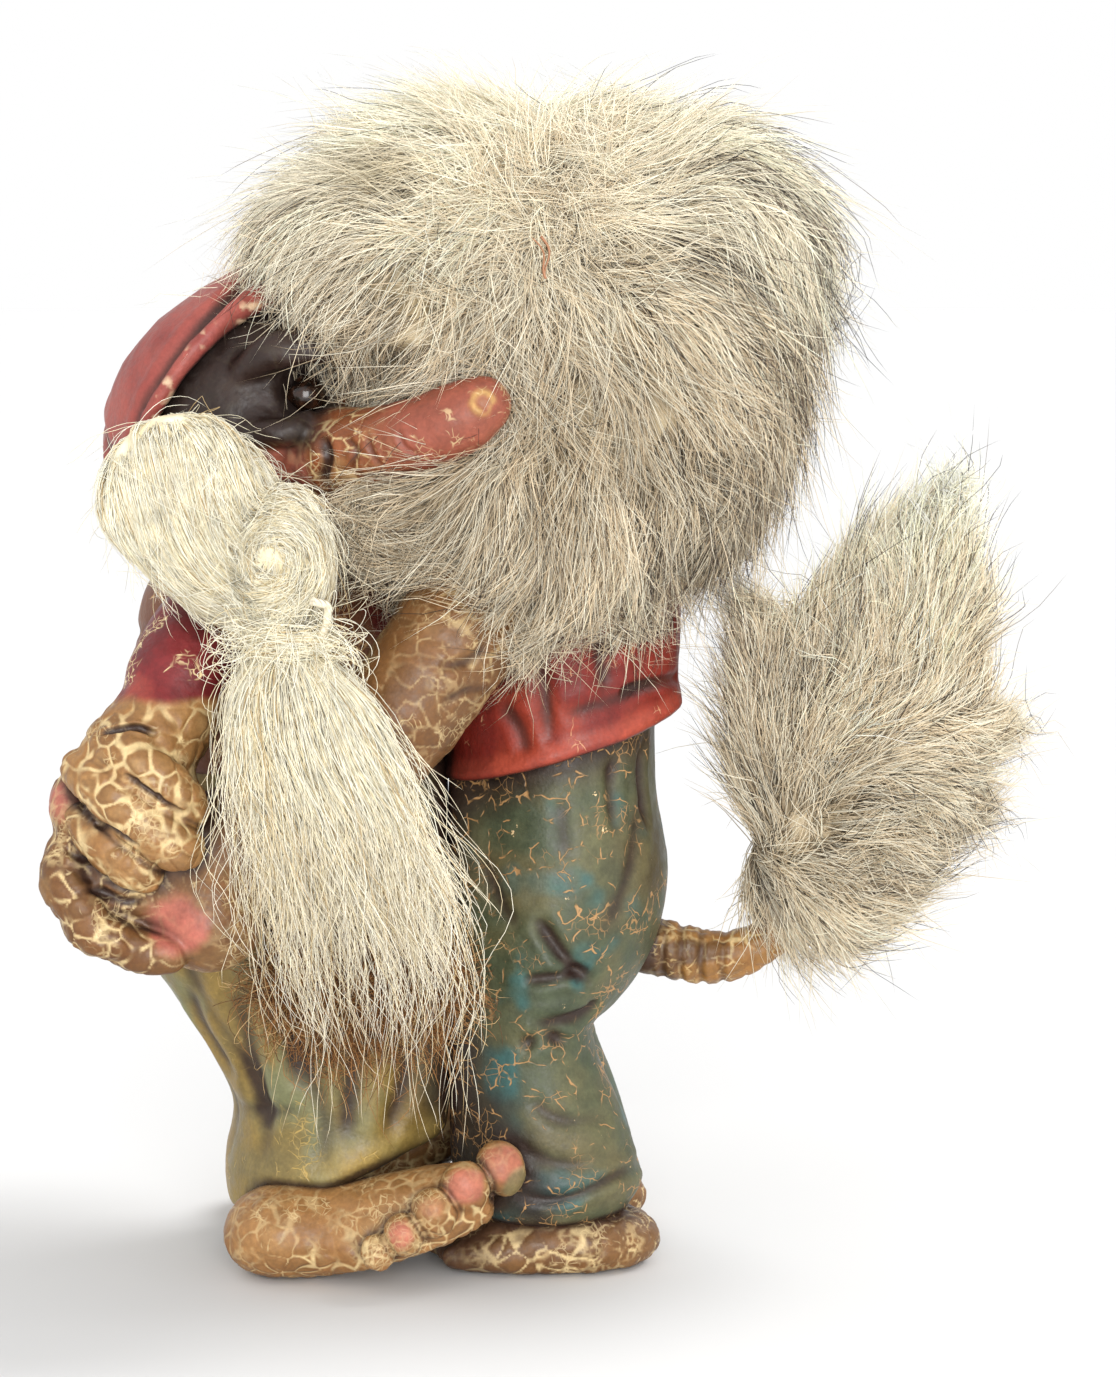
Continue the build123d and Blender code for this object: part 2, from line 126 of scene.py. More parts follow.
def spline(points, n=6):
    """A smooth line through the points: n steps between each two (Catmull-Rom), any number of columns."""
    p = np.array(points, float)
    q = np.vstack([2 * p[0] - p[1], p, 2 * p[-1] - p[-2]])
    out = []
    for i in range(1, len(q) - 2):
        for k in range(n):
            t = k / n
            out.append(0.5 * (2 * q[i] + (q[i + 1] - q[i - 1]) * t + (2 * q[i - 1] - 5 * q[i] + 4 * q[i + 1] - q[i + 2]) * t * t
                              + (3 * q[i] - q[i - 1] - 3 * q[i + 1] + q[i + 2]) * t ** 3))
    out.append(p[-1])
    return np.array(out)


def limb(points, radii, n=3, flat=None):
    """A tapering limb round a smooth line. flat = (axis, share) squeezes it along an axis."""
    rows = spline(np.column_stack([np.array(points, float), np.array(radii, float)]), n).astype(F)
    squeeze = None
    if flat:
        ax = np.array(flat[0], float)
        ax = ax / np.linalg.norm(ax)
        squeeze = (np.eye(3) + (1 / flat[1] - 1) * np.outer(ax, ax)).astype(F)

    def f(p):
        best = None
        for i in range(len(rows) - 1):
            a, b = rows[i, :3], rows[i + 1, :3]
            ab = b - a
            q = p - a
            h = np.clip(q @ ab / max(float(ab @ ab), 1e-6), 0, 1)
            w = q - h[:, None] * ab
            if squeeze is not None:
                w = w @ squeeze
            d = length(w) - (rows[i, 3] + h * (rows[i + 1, 3] - rows[i, 3]))
            best = d if best is None else smin(best, d, 0.8)
        return best
    return f


def stack(rows, z0=None, z1=None, edge=1.5):
    """Level rounded outlines, one over another: rows of (z, x, y, half width in x, half width in y)."""
    t = spline(sorted(rows), 8)
    Z, CX, CY, RX, RY = (np.ascontiguousarray(t[:, i]) for i in range(5))
    lo, hi = (Z[0] if z0 is None else z0), (Z[-1] if z1 is None else z1)

    def f(p):
        z = p[:, 2]
        rx, ry = np.interp(z, Z, RX).astype(F), np.interp(z, Z, RY).astype(F)
        x = p[:, 0] - np.interp(z, Z, CX).astype(F)
        y = p[:, 1] - np.interp(z, Z, CY).astype(F)
        a = np.sqrt((x / rx) ** 2 + (y / ry) ** 2)
        b = np.sqrt((x / rx ** 2) ** 2 + (y / ry ** 2) ** 2)
        d = a * (a - 1) / np.maximum(b, 1e-6)
        return smax(d, np.maximum(lo - z, z - hi), edge)
    return f


def smin(a, b, k):
    h = np.maximum(k - np.abs(a - b), 0) / k
    return np.minimum(a, b) - h * h * (k * 0.25)


def smax(a, b, k):
    return -smin(-a, -b, k)


def join(k, *fs):
    def f(p):
        d = fs[0](p)
        for g in fs[1:]:
            d = smin(d, g(p), k)
        return d
    return f


def cut(f, point, normal, k=1.2):
    """Takes away the side of the plane that the normal points to."""
    n = np.array(normal, float)
    n = (n / np.linalg.norm(n)).astype(F)
    off = float(np.array(point, float) @ n)
    return lambda p: smax(f(p), p @ n - off, k)


def minus(f, g, k=1.0, gap=0.0):
    return lambda p: smax(f(p), gap - g(p), k)


def line_dist(p, pts):
    """Distance to a polyline, and how far along it, 0 to 1."""
    best = np.full(len(p), 1e9, F)
    along = np.zeros(len(p), F)
    n = len(pts) - 1
    for i in range(n):
        a, b = pts[i].astype(F), pts[i + 1].astype(F)
        ab = b - a
        q = p - a
        h = np.clip(q @ ab / max(float(ab @ ab), 1e-6), 0, 1)
        d = length(q - h[:, None] * ab)
        nearer = d < best
        best = np.where(nearer, d, best)
        along = np.where(nearer, (i + h) / n, along)
    return best, along


class Marks:
    """Creases (depth above 0) and swellings (below 0) along lines on a surface. They move the surface along its normal."""

    def __init__(self):
        self.rows = []

    def add(self, pts, width, depth, taper=True, colour=None, lip=0.0):
        self.rows.append((spline(pts, 4) if len(pts) > 1 else np.array(pts, float), width, depth, taper, colour, lip))
        return self

    def seen(self, f, uvs, width, depth, **kw):
        return self.add(hit(f, uvs), width, depth, **kw)

    def push(self, p):
        """How far each point moves outwards, and how deep in a crease it is, 0 to 1."""
        out = np.zeros(len(p), F)
        dark = np.zeros(len(p), F)
        for pts, w, d, taper, colour, lip in self.rows:
            lo, hi = pts.min(0) - 3 * w, pts.max(0) + 3 * w
            near = np.nonzero(((p > lo) & (p < hi)).all(1))[0]
            if not len(near):
                continue
            q = p[near]
            if len(pts) > 1:
                r, s = line_dist(q, pts)
                k = np.clip(np.minimum(s, 1 - s) * 5, 0, 1) ** 0.5 if taper else 1.0
            else:
                r, k = length(q - pts[0].astype(F)), 1.0
            g = np.exp(-(r / w) ** 2) * k
            out[near] -= d * g
            if lip:
                out[near] += lip * np.exp(-((r - 1.9 * w) / (0.9 * w)) ** 2) * k
            if d > 0:
                dark[near] = np.maximum(dark[near], g)
        return out, dark


# ---- noise --------------------------------------------------------------------------------

def _hash(ix, iy, iz, seed):
    with np.errstate(over="ignore"):
        h = (ix.astype(np.uint32) * np.uint32(374761393) + iy.astype(np.uint32) * np.uint32(668265263)
             + iz.astype(np.uint32) * np.uint32(2246822519) + np.uint32(seed * 3266489917 % 4294967296))
        h = (h ^ (h >> np.uint32(13))) * np.uint32(1274126177)
        h = h ^ (h >> np.uint32(16))
    return h


def noise(p, size, seed=0):
    """Smooth noise from -1 to 1, with features of about this size."""
    q = (p / size).astype(F)
    i = np.floor(q).astype(np.int64)
    t = q - i
    t = t * t * (3 - 2 * t)
    out = np.zeros(len(p), F)
    for dx in (0, 1):
        wx = t[:, 0] if dx else 1 - t[:, 0]
        for dy in (0, 1):
            wy = t[:, 1] if dy else 1 - t[:, 1]
            for dz in (0, 1):
                wz = t[:, 2] if dz else 1 - t[:, 2]
                out += wx * wy * wz * (_hash(i[:, 0] + dx, i[:, 1] + dy, i[:, 2] + dz, seed) / F(2147483648.0) - 1)
    return out


def fbm(p, size, octaves=3, seed=0):
    out, amp, total = 0, 1.0, 0.0
    for k in range(octaves):
        out = out + amp * noise(p, size / 2 ** k, seed + 11 * k)
        total += amp
        amp *= 0.5
    return out / total


def cells(p, size, seed=0, jitter=0.9, wobble=0.25):
    """Irregular cells: the distance to the nearest border in millimetres, roughly, and a number for each cell."""
    q = p / size
    if wobble:
        q = q + wobble * np.column_stack([noise(p, size * 0.8, seed + 3), noise(p, size * 0.8, seed + 4), noise(p, size * 0.8, seed + 5)])
    q = q.astype(F)
    base = np.floor(q).astype(np.int64)
    f1 = np.full(len(p), 9.0, F)
    f2 = np.full(len(p), 9.0, F)
    who = np.zeros(len(p), F)
    for dx in (-1, 0, 1):
        for dy in (-1, 0, 1):
            for dz in (-1, 0, 1):
                c = base + np.array([dx, dy, dz])
                jx = _hash(c[:, 0], c[:, 1], c[:, 2], seed + 1) / F(4294967296.0)
                jy = _hash(c[:, 0], c[:, 1], c[:, 2], seed + 2) / F(4294967296.0)
                jz = _hash(c[:, 0], c[:, 1], c[:, 2], seed + 3) / F(4294967296.0)
                s = c + 0.5 + jitter * (np.column_stack([jx, jy, jz]) - 0.5)
                d = length((q - s).astype(F))
                nearer = d < f1
                f2 = np.where(nearer, f1, np.minimum(f2, d))
                who = np.where(nearer, jx, who)
                f1 = np.where(nearer, d, f1)
    return (f2 - f1) * size * 0.5, who


def smooth(a, b, x):
    t = np.clip((x - a) / (b - a), 0, 1)
    return t * t * (3 - 2 * t)


# ---- from an implicit shape to a mesh -----------------------------------------------------------

def grid_values(f, lo, hi, h):
    axes = [np.arange(lo[k], hi[k] + h, h, dtype=F) for k in range(3)]
    shape = tuple(len(a) for a in axes)
    gx, gy, gz = np.meshgrid(*axes, indexing="ij")
    pts = np.column_stack([gx.ravel(), gy.ravel(), gz.ravel()]).astype(F)
    out = np.empty(len(pts), F)
    step = 200000
    for i in range(0, len(pts), step):
        out[i:i + step] = f(pts[i:i + step])
    return out.reshape(shape)


def nets(g, lo, h):
    """Quads round the zero level of a grid (surface nets)."""
    s = g < 0
    c = np.zeros(tuple(n - 1 for n in g.shape), np.int16)
    for dx in (0, 1):
        for dy in (0, 1):
            for dz in (0, 1):
                c += s[dx:s.shape[0] - 1 + dx, dy:s.shape[1] - 1 + dy, dz:s.shape[2] - 1 + dz]
    active = (c > 0) & (c < 8)
    ids = np.full(c.shape, -1, np.int64)
    cell = np.argwhere(active)
    ids[active] = np.arange(len(cell))
    acc = np.zeros((len(cell), 3))
    cnt = np.zeros(len(cell))
    corners = [(x, y, z) for x in (0, 1) for y in (0, 1) for z in (0, 1)]
    for a in corners:
        for k in range(3):
            if a[k]:
                continue
            b = list(a)
            b[k] = 1
            ga = g[cell[:, 0] + a[0], cell[:, 1] + a[1], cell[:, 2] + a[2]].astype(float)
            gb = g[cell[:, 0] + b[0], cell[:, 1] + b[1], cell[:, 2] + b[2]].astype(float)
            crossed = (ga < 0) != (gb < 0)
            t = np.where(crossed, ga / np.where(crossed, ga - gb, 1), 0)
            pos = np.array(a, float) + t[:, None] * (np.array(b, float) - np.array(a, float))
            acc += np.where(crossed[:, None], pos, 0)
            cnt += crossed
    verts = (cell + acc / cnt[:, None]) * h + np.array(lo, float)
    quads = []
    for k in range(3):
        o1, o2 = (k + 1) % 3, (k + 2) % 3
        sl0 = [slice(1, -1)] * 3
        sl0[k] = slice(0, -1)
        sl1 = list(sl0)
        sl1[k] = slice(1, None)
        a, b = s[tuple(sl0)], s[tuple(sl1)]
        for flip in (False, True):
            found = np.argwhere((a & ~b) if not flip else (~a & b))
            if not len(found):
                continue
            base = found.copy()
            base[:, o1] += 1
            base[:, o2] += 1
            e1, e2 = np.zeros(3, int), np.zeros(3, int)
            e1[o1], e2[o2] = 1, 1
            q = [base - e1 - e2, base - e2, base, base - e1]
            q = np.column_stack([ids[tuple(v.T)] for v in q])
            quads.append(q[:, ::-1] if flip else q)
    quads = np.vstack(quads)
    return verts.astype(F), quads


def gradient(f, p, e=0.2):
    out = np.empty_like(p)
    for k in range(3):
        d = np.zeros(3, F)
        d[k] = e
        out[:, k] = f(p + d) - f(p - d)
    return out / (2 * e)


def snap(f, p, times=2, limit=0.8):
    for _ in range(times):
        g = gradient(f, p)
        n2 = np.maximum(np.einsum("ij,ij->i", g, g), 0.05)
        step = np.clip(f(p) / n2, -limit, limit)
        p = p - g * step[:, None]
    return p


def edges_of(quads):
    e = np.vstack([quads[:, [0, 1]], quads[:, [1, 2]], quads[:, [2, 3]], quads[:, [3, 0]]])
    s = np.sort(e, 1)
    key = s[:, 0].astype(np.int64) * (quads.max() + 1) + s[:, 1]
    uniq, first, inv = np.unique(key, return_index=True, return_inverse=True)
    return s[first], inv.reshape(4, -1).T


def divide(p, quads):
    """Each quad in four."""
    e, inv = edges_of(quads)
    n = len(p)
    mid = (p[e[:, 0]] + p[e[:, 1]]) / 2
    cen = p[quads].mean(1)
    ei = inv + n
    ci = np.arange(len(quads)) + n + len(e)
    out = []
    for k in range(4):
        out.append(np.column_stack([quads[:, k], ei[:, k], ci, ei[:, k - 1]]))
    return np.vstack([p, mid, cen]).astype(F), np.vstack(out)


def relax(p, quads, times=1, amount=0.5):
    e, _ = edges_of(quads)
    n = len(p)
    deg = np.bincount(e.ravel(), minlength=n).astype(F)
    for _ in range(times):
        q = np.empty_like(p)
        for k in range(3):
            q[:, k] = np.bincount(e[:, 0], weights=p[e[:, 1], k], minlength=n) + np.bincount(e[:, 1], weights=p[e[:, 0], k], minlength=n)
        p = p + (q / np.maximum(deg, 1)[:, None] - p) * amount
    return p.astype(F)


def largest(p, quads):
    """Drops loose crumbs: keeps the vertices joined to the biggest part."""
    label = np.arange(len(p))
    e, _ = edges_of(quads)
    for _ in range(400):
        low = np.minimum(label[e[:, 0]], label[e[:, 1]])
        new = label.copy()
        np.minimum.at(new, e[:, 0], low)
        np.minimum.at(new, e[:, 1], low)
        new = new[new]
        if (new == label).all():
            break
        label = new
    names, count = np.unique(label, return_counts=True)
    return label, names[np.argmax(count)], count.max()


def normals_of(p, quads):
    a, b, c, d = (p[quads[:, k]] for k in range(4))
    fn = np.cross(c - a, d - b)
    out = np.zeros_like(p)
    for k in range(4):
        for j in range(3):
            out[:, j] += np.bincount(quads[:, k], weights=fn[:, j], minlength=len(p)).astype(F)
    return out / np.maximum(length(out), 1e-9)[:, None]


def mesh_object(name, p, quads, paint, body="figure", material=None, stands_for=(), tris=None):
    mesh = bpy.data.meshes.new(name)
    co = ((p + SHIFT) * 0.001).astype(F)
    faces = quads if tris is None else tris
    k = faces.shape[1]
    mesh.vertices.add(len(co))
    mesh.vertices.foreach_set("co", co.ravel())
    mesh.loops.add(faces.size)
    mesh.loops.foreach_set("vertex_index", faces.astype(np.int32).ravel())
    mesh.polygons.add(len(faces))
    mesh.polygons.foreach_set("loop_start", (np.arange(len(faces)) * k).astype(np.int32))
    mesh.polygons.foreach_set("loop_total", np.full(len(faces), k, np.int32))
    mesh.polygons.foreach_set("use_smooth", np.ones(len(faces), bool))
    mesh.update(calc_edges=True)
    mesh.validate()
    if paint is not None:
        att = mesh.attributes.new("paint", "FLOAT_COLOR", "POINT")
        att.data.foreach_set("color", paint.astype(F).ravel())
    obj = bpy.data.objects.new(name, mesh)
    bpy.context.scene.collection.objects.link(obj)
    if material:
        mesh.materials.append(material)
    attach(obj, body)
    if stands_for:
        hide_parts(*stands_for)
    return obj


WORLD = {}


def room(p, reach=(1.5, 4.0, 9.0), n=None):
    """How open the place is, 0 to 1, from the distances to everything round it."""
    out = np.zeros(len(p), F)
    for d in reach:
        out += np.clip(world(p + n * d) / d, 0, 1)
    return out / len(reach)


def world(p):
    """The distance to the nearest moulding, read from a coarse grid."""
    g, lo, h = WORLD["grid"], WORLD["lo"], WORLD["h"]
    q = (p - lo) / h
    q = np.clip(q, 0, np.array(g.shape) - 1.001)
    i = q.astype(np.int64)
    t = (q - i).astype(F)
    out = np.zeros(len(p), F)
    for dx in (0, 1):
        wx = t[:, 0] if dx else 1 - t[:, 0]
        for dy in (0, 1):
            wy = t[:, 1] if dy else 1 - t[:, 1]
            for dz in (0, 1):
                wz = t[:, 2] if dz else 1 - t[:, 2]
                out += wx * wy * wz * g[i[:, 0] + dx, i[:, 1] + dy, i[:, 2] + dz]
    return out


def srgb(r, g, b):
    c = np.array([r, g, b], float) / 255
    return np.where(c <= 0.04045, c / 12.92, ((c + 0.055) / 1.055) ** 2.4)


def mix(a, b, t):
    t = np.asarray(t)[:, None] if np.ndim(t) else t
    return a * (1 - t) + b * t


def sculpt(name, f, lo, hi, h, levels, finish, stands_for, material, body="figure", marks=None, keep_parts=False):
    """Meshes the shape f, divides it finely, then lets finish(p, n, dark) give the relief and the paint."""
    lo, hi = np.array(lo, float), np.array(hi, float)
    g = grid_values(f, lo, hi, h)
    p, quads = nets(g, lo, h)
    if not keep_parts:
        label, main, count = largest(p, quads)
        if count < len(p):
            keep = label[quads[:, 0]] == main
            quads = quads[keep]
            used = np.unique(quads)
            back = np.full(len(p), -1)
            back[used] = np.arange(len(used))
            p, quads = p[used], back[quads]
    p = relax(p, quads, 2, 0.4)
    p = snap(f, p)
    for _ in range(levels):
        p, quads = divide(p, quads)
        p = relax(p, quads, 1, 0.3)
        p = snap(f, p, 1)
    g = gradient(f, p)
    n = g / np.maximum(length(g), 1e-6)[:, None]
    dark = np.zeros(len(p), F)
    if marks:
        move, dark = marks.push(p)
        p = p + n * move[:, None]
        n = normals_of(p, quads)
    # cavity of the piece itself, and the room round it: they set how much crease paint and painted shade the finish
    # lays on
    own = np.clip((f(p + n * 1.2)) / 1.2, 0, 1) * 0.5 + np.clip((f(p + n * 3.5)) / 3.5, 0, 1) * 0.5
    ao = room(p, n=n)
    dark = np.clip(dark ** 1.6 * 0.62 + 0.8 * np.clip((0.88 - own) / 0.88, 0, 1), 0, 1)
    relief, paint = finish(p, n, dark, ao)
    p = p + n * relief[:, None]
    obj = mesh_object(name, p, quads, paint, body, material, stands_for)
    log(f"{name}: {len(quads)} quads")
    return obj, p, n, quads


# ---- the mouldings -------------------------------------------------------------------------

HEM_P, HEM_N = (-9.0, 0.0, 97.5), (-0.30, 0.0, 1.0)
BELLY_X = -10.4
SKIRT_HEM_P, SKIRT_HEM_N = (-44.0, 0.0, 13.2), (-0.40, 0.0, 1.0)


def leg(side):
    back = 1.5 if side > 0 else 0.0
    return stack([(9.5, 9.0 - back, 14.0 * side, 14.4, 11.6), (12.5, 9.8 - back, 14.0 * side, 16.2, 13.0), (17, 10.9 - back, 14.0 * side, 17.4, 13.8),
                  (22, 10.8 - back, 14.0 * side, 16.4, 13.2), (31, 9.2 - back, 13.6 * side, 15.2, 12.8),
                  (41, 7.2 - back * 0.5, 12.8 * side, 12.7, 12.0), (49, 6.2, 12.6 * side, 11.4, 12.2), (58, 6.0, 12.0 * side, 12.4, 12.4)],
                 z0=9.8, edge=2.5)


t_trousers = join(3.0, stack([(46, 8.0, 0.0, 13.0, 22.5), (50, 8.0, 0.0, 15.0, 25.0), (57, 9.0, 0.0, 19.2, 26.6), (66, 10.8, 0.0, 21.4, 27.4),
                              (78, 12.2, 0.0, 21.6, 27.2), (92, 12.0, 0.0, 19.6, 25.5), (104, 12.4, 0.0, 18.6, 24.0),
                              (118, 13.0, 0.0, 18.0, 23.0)], z0=48.0, edge=5.0), leg(-1), leg(1))
t_trousers = join(5.0, t_trousers, egg((-3.5, -1, 60), (13.0, 19.5, 53)))
t_trousers = cut(cut(t_trousers, (-9, 0, 99.0), HEM_N, 0.8), (BELLY_X + 0.3, 0, 0), (-1, 0, 0), 2.0)
t_trousers = minus(t_trousers, limb([(27, 2, 61), (45, 2, 61)], [6.0, 6.6], 1), 0.8)

SHIRT_ROWS = [(84, 13.0, 0.0, 21.8, 26.6), (104, 12.0, 0.0, 22.6, 27.6), (118, 11.5, 0.0, 23.6, 29.0), (132, 11.5, 0.0, 24.0, 30.0),
              (144, 10.5, 0.0, 22.0, 28.0), (154, 9.0, 3.0, 16.0, 19.0)]
_shirt = stack(SHIRT_ROWS, edge=4.0)
_hem_n = np.array(HEM_N) / np.linalg.norm(HEM_N)


def t_shirt_body(p):
    h = (p - np.array(HEM_P, F)) @ _hem_n.astype(F)
    d = _shirt(p) - 1.6 * np.exp(-(h / 3.2) ** 2) - 0.5
    return smax(d, -h - 0.6, 2.2)


t_shirt = t_shirt_body

t_arm = join(1.5, limb([(4, -22.5, 141), (-4, -33, 134), (-13, -39, 121.5), (-22, -41.5, 110), (-34, -42, 100.5), (-45, -42.5, 93), (-52, -42.5, 88)],
                       [11.5, 12.0, 11.8, 11.2, 10.4, 10.6, 11.8], 2))
t_palm = join(4.0, egg((-61, -43, 84), (17, 10.2, 16.2), (0, 22, 0)), egg((-73, -43, 83), (12.5, 10.5, 12.0)), egg((-54, -47.5, 76), (10, 8.2, 9.5)))
t_fingers = [
    limb([(-70, -44, 92), (-77.5, -46.5, 90.5), (-80.5, -50.5, 84.5), (-76.5, -53.4, 79.5)], [6.0, 5.6, 4.9, 4.2], 3),
    limb([(-68, -44, 84), (-76, -48.5, 80.5), (-75.5, -53.0, 76), (-70.5, -54.0, 73.8)], [5.8, 5.4, 4.6, 3.8], 3),
    limb([(-64, -44, 76), (-70, -49, 73.8), (-66.5, -52.5, 71.6), (-61, -53, 71)], [5.2, 4.8, 4.2, 3.6], 3),
    limb([(-70, -40, 96), (-77.5, -42, 100.5), (-79.5, -45, 97.5), (-78.5, -48, 94)], [5.2, 4.8, 4.4, 4.0], 3),
]
t_left_arm = join(2.6, t_arm, t_palm)
t_left_arm = join(1.0, t_left_arm, *t_fingers)

s_sleeve = limb([(-51, -18, 129.5), (-55, -29.5, 127), (-59.5, -38, 120.5)], [10.8, 11.4, 10.6], 3)
s_fore = limb([(-57, -35, 121), (-61.5, -42, 114.5), (-66.5, -47, 108.5)], [8.6, 9.6, 9.6], 3)
s_fist = join(3.0, egg((-67.5, -48.2, 107), (10.4, 8.6, 9.8)), egg((-65.5, -48.5, 97), (12.0, 7.6, 11)))
s_fingers = [
    limb([(-70.8, -51.6, 110.4), (-66.5, -54.6, 107.6), (-60.5, -55.4, 102.6), (-56.8, -53.6, 98.8)], [4.4, 5.0, 5.0, 4.2], 3),
    limb([(-77.2, -49.6, 105.2), (-71.5, -54.6, 102.4), (-65.6, -56.6, 97.2), (-59.6, -56.2, 92.6), (-57.6, -54.6, 91.6)], [4.2, 5.0, 5.2, 4.9, 4.0], 3),
    limb([(-77.0, -49.6, 95.6), (-72.5, -53.6, 92.4), (-67.5, -55.0, 88.6), (-65.0, -53.4, 86.6)], [3.8, 4.5, 4.5, 3.8], 3),
]
s_right_arm = join(2.0, s_sleeve, s_fore, s_fist)
s_right_arm = join(0.7, s_right_arm, *s_fingers)
s_right_arm = minus(s_right_arm, join(2.6, t_arm, t_palm), 0.8, 0.2)


def hand(wrist, d, n, size=1.0, spread=1.0, curl=0.55, count=4):
    """A stubby hand that points along d with its back towards n."""
    w, d, n = np.array(wrist, float), np.array(d, float), np.array(n, float)
    d = d / np.linalg.norm(d)
    n = n - d * (n @ d)
    n = n / np.linalg.norm(n)
    s = np.cross(d, n)
    k = size
    parts = [limb([w, w + d * 7 * k, w + d * 13 * k], [6.6 * k, 7.6 * k, 7.0 * k], 3, flat=(n, 0.8))]
    for i in range(count):
        side = (i - (count - 1) / 2) * 4.3 * k * spread
        long = (1.0, 1.12, 1.06, 0.86)[i % 4]
        a = w + d * 12 * k + s * side * 0.9
        b = a + d * 7.5 * k * long + s * side * 0.10 - n * 1.5 * curl
        c = b + d * 5.0 * k * long - n * 4.4 * curl
        e = c + d * 2.2 * k * long - n * 4.6 * curl
        parts.append(limb([a, b, c, e], [3.3 * k, 3.2 * k, 2.9 * k, 2.4 * k], 3))
    a = w + d * 5 * k - s * 6.4 * k
    parts.append(limb([a, a + d * 5 * k - s * 4.4 * k, a + d * 9.5 * k - s * 4.8 * k - n * 2.4], [3.8 * k, 3.4 * k, 2.7 * k], 3))
    return join(0.9, *parts)


t_right_arm = join(2.0, limb([(4, 22.5, 136), (-3, 34, 129), (-16, 40, 117), (-32, 40.5, 109), (-48, 39, 105), (-60, 34.5, 103.6)],
                             [11.5, 12.0, 11.0, 10.4, 9.4, 7.6], 3),
                   hand((-62.5, 32.5, 103.4), (-0.62, -0.78, 0.0), (-0.78, 0.62, 0.1), 0.92))
s_left_arm = join(2.0, limb([(-45, 18, 129.5), (-41, 29, 132.5), (-32, 37.5, 138), (-20, 42, 143), (-9, 43, 147.0)], [9.6, 9.8, 9.4, 8.6, 7.2], 3),
                  hand((-8, 43, 147.2), (0.97, -0.12, 0.1), (-0.05, 0.85, 0.5), 0.9))

t_foot_eggs = {-1: (9.6, -15.0, 2), 1: (7.6, 16.0, -4)}


def flat_foot(side):
    cx, cy, turn = t_foot_eggs[side]
    body = join(3.0, egg((cx + 2.5, cy, 5.0), (20.0, 12.8, 9.0), (0, 0, turn)), egg((cx - 9, cy + 0.5 * side, 4.2), (13.5, 12.6, 6.6), (0, 0, turn)))
    toes = []
    for i in range(5):
        y = cy - side * (8.6 - i * 4.3)
        toes.append(egg((cx - 20.4 + abs(i - 1.2) * 1.1 + (1.0 if i > 2 else 0), y, 3.6), (4.8, 2.6 if i else 3.4, 3.2)))
    body = join(0.9, body, *toes)
    body = cut(body, (0, 0, 0.05), (0, 0, -1), 2.0)
    return cut(body, (0, 0, 11.2), (0, 0, 1), 1.5)


def under_sole(f):
    wedge = lambda p: np.maximum(-((p - np.array((-12, 0, 8.1), F)) @ (np.array((-0.36, 0, 1)) / 1.0628).astype(F)), p[:, 0] - (BELLY_X + 5.4))
    return lambda p: smax(f(p), -wedge(p), 0.8)


t_left_foot, t_right_foot = under_sole(flat_foot(-1)), under_sole(flat_foot(1))


def dancing_foot(side):
    m = lambda pts: [(a, b if side < 0 else -b, c) for a, b, c in pts]
    heel = egg(*[(-42.0, -22.5 if side < 0 else 22.5, 8.4)], (12.5, 11.8, 9.2), (0, -6, 0))
    body = limb(m([(-44, -22.5, 9.0), (-32, -23.5, 9.8), (-20, -25.8, 13.2), (-9, -28.5, 17.8)]), [8.6, 9.2, 8.8, 7.0], 3, flat=((0.3, 0, 1), 0.86))
    wide = limb(m([(-40, -24, 7.6), (-28, -28.5, 7.4), (-16, -31.5, 10.8), (-6, -31.5, 16.4)]), [7.0, 6.6, 5.8, 5.2], 3, flat=((0.3, 0, 1), 0.82))
    toes = [egg(tuple(m([c])[0]), r, (0, -18, 0)) for c, r in (
        ((0.4, -30.2, 23.4), (4.9, 4.7, 5.7)), ((-6.4, -34.2, 20.6), (5.0, 4.5, 5.4)), ((-12.4, -37.2, 16.6), (4.6, 4.3, 5.0)),
        ((-18.2, -38.6, 12.6), (4.0, 3.8, 4.4)), ((-23.2, -38.4, 9.0), (3.5, 3.4, 3.8)))]
    f = join(0.7, join(3.5, heel, body, wide), *toes)
    f = cut(f, (0, 0, 0.05), (0, 0, -1), 1.6)
    f = cut(f, (-12, 0, 8.2), (0.36, 0, -1), 1.6)
    f = minus(f, t_trousers, 0.8, 0.15)
    return f


s_right_foot, s_left_foot = dancing_foot(-1), dancing_foot(1)

s_skirt = stack([(4, -34.0, 0.0, 20.0, 22.5), (9, -34.0, 0.0, 21.2, 23.6), (14, -33.4, 0.0, 22.6, 24.4), (20, -33.0, 0.0, 22.8, 24.4),
                 (30, -32.8, 0.0, 21.6, 24.0), (41, -34.8, 0.0, 24.4, 25.0), (52, -38.0, 0.0, 28.0, 26.2), (62, -41.0, 0.0, 31.0, 26.8),
                 (78, -43.0, 0.0, 31.0, 26.0), (90, -44.0, 0.0, 28.6, 24.6), (101, -45.0, 0.0, 26.8, 23.8)], edge=1.5)
s_skirt = cut(join(5.0, s_skirt, egg((-17, -1, 58), (12.2, 19.5, 55))), (0, 0, 100.8), (0, 0, 1), 1.0)
s_skirt = cut(cut(s_skirt, (-44, 0, 12.6), (0.40, 0, -1), 2.4), (BELLY_X - 0.2, 0, 0), (1, 0, 0), 2.0)
s_bodice = stack([(99, -45.0, 0.0, 27.2, 24.2), (103, -45, 0, 27.8, 24.8), (110, -45.5, -0.5, 27.4, 24.6), (122, -46.0, -1.0, 26.6, 24.2),
                  (133, -47.0, -2.0, 23.6, 22.2), (141, -47.5, -4.0, 18.0, 18.0)], edge=3.0)
s_bodice = minus(cut(join(4.0, s_bodice, cut(egg((-24, -2, 112), (14, 17, 24)), (0, 0, 99.3), (0, 0, -1), 1.0)), (BELLY_X - 0.4, 0, 0), (1, 0, 0), 2.0), t_shirt, 0.5, 0.2)

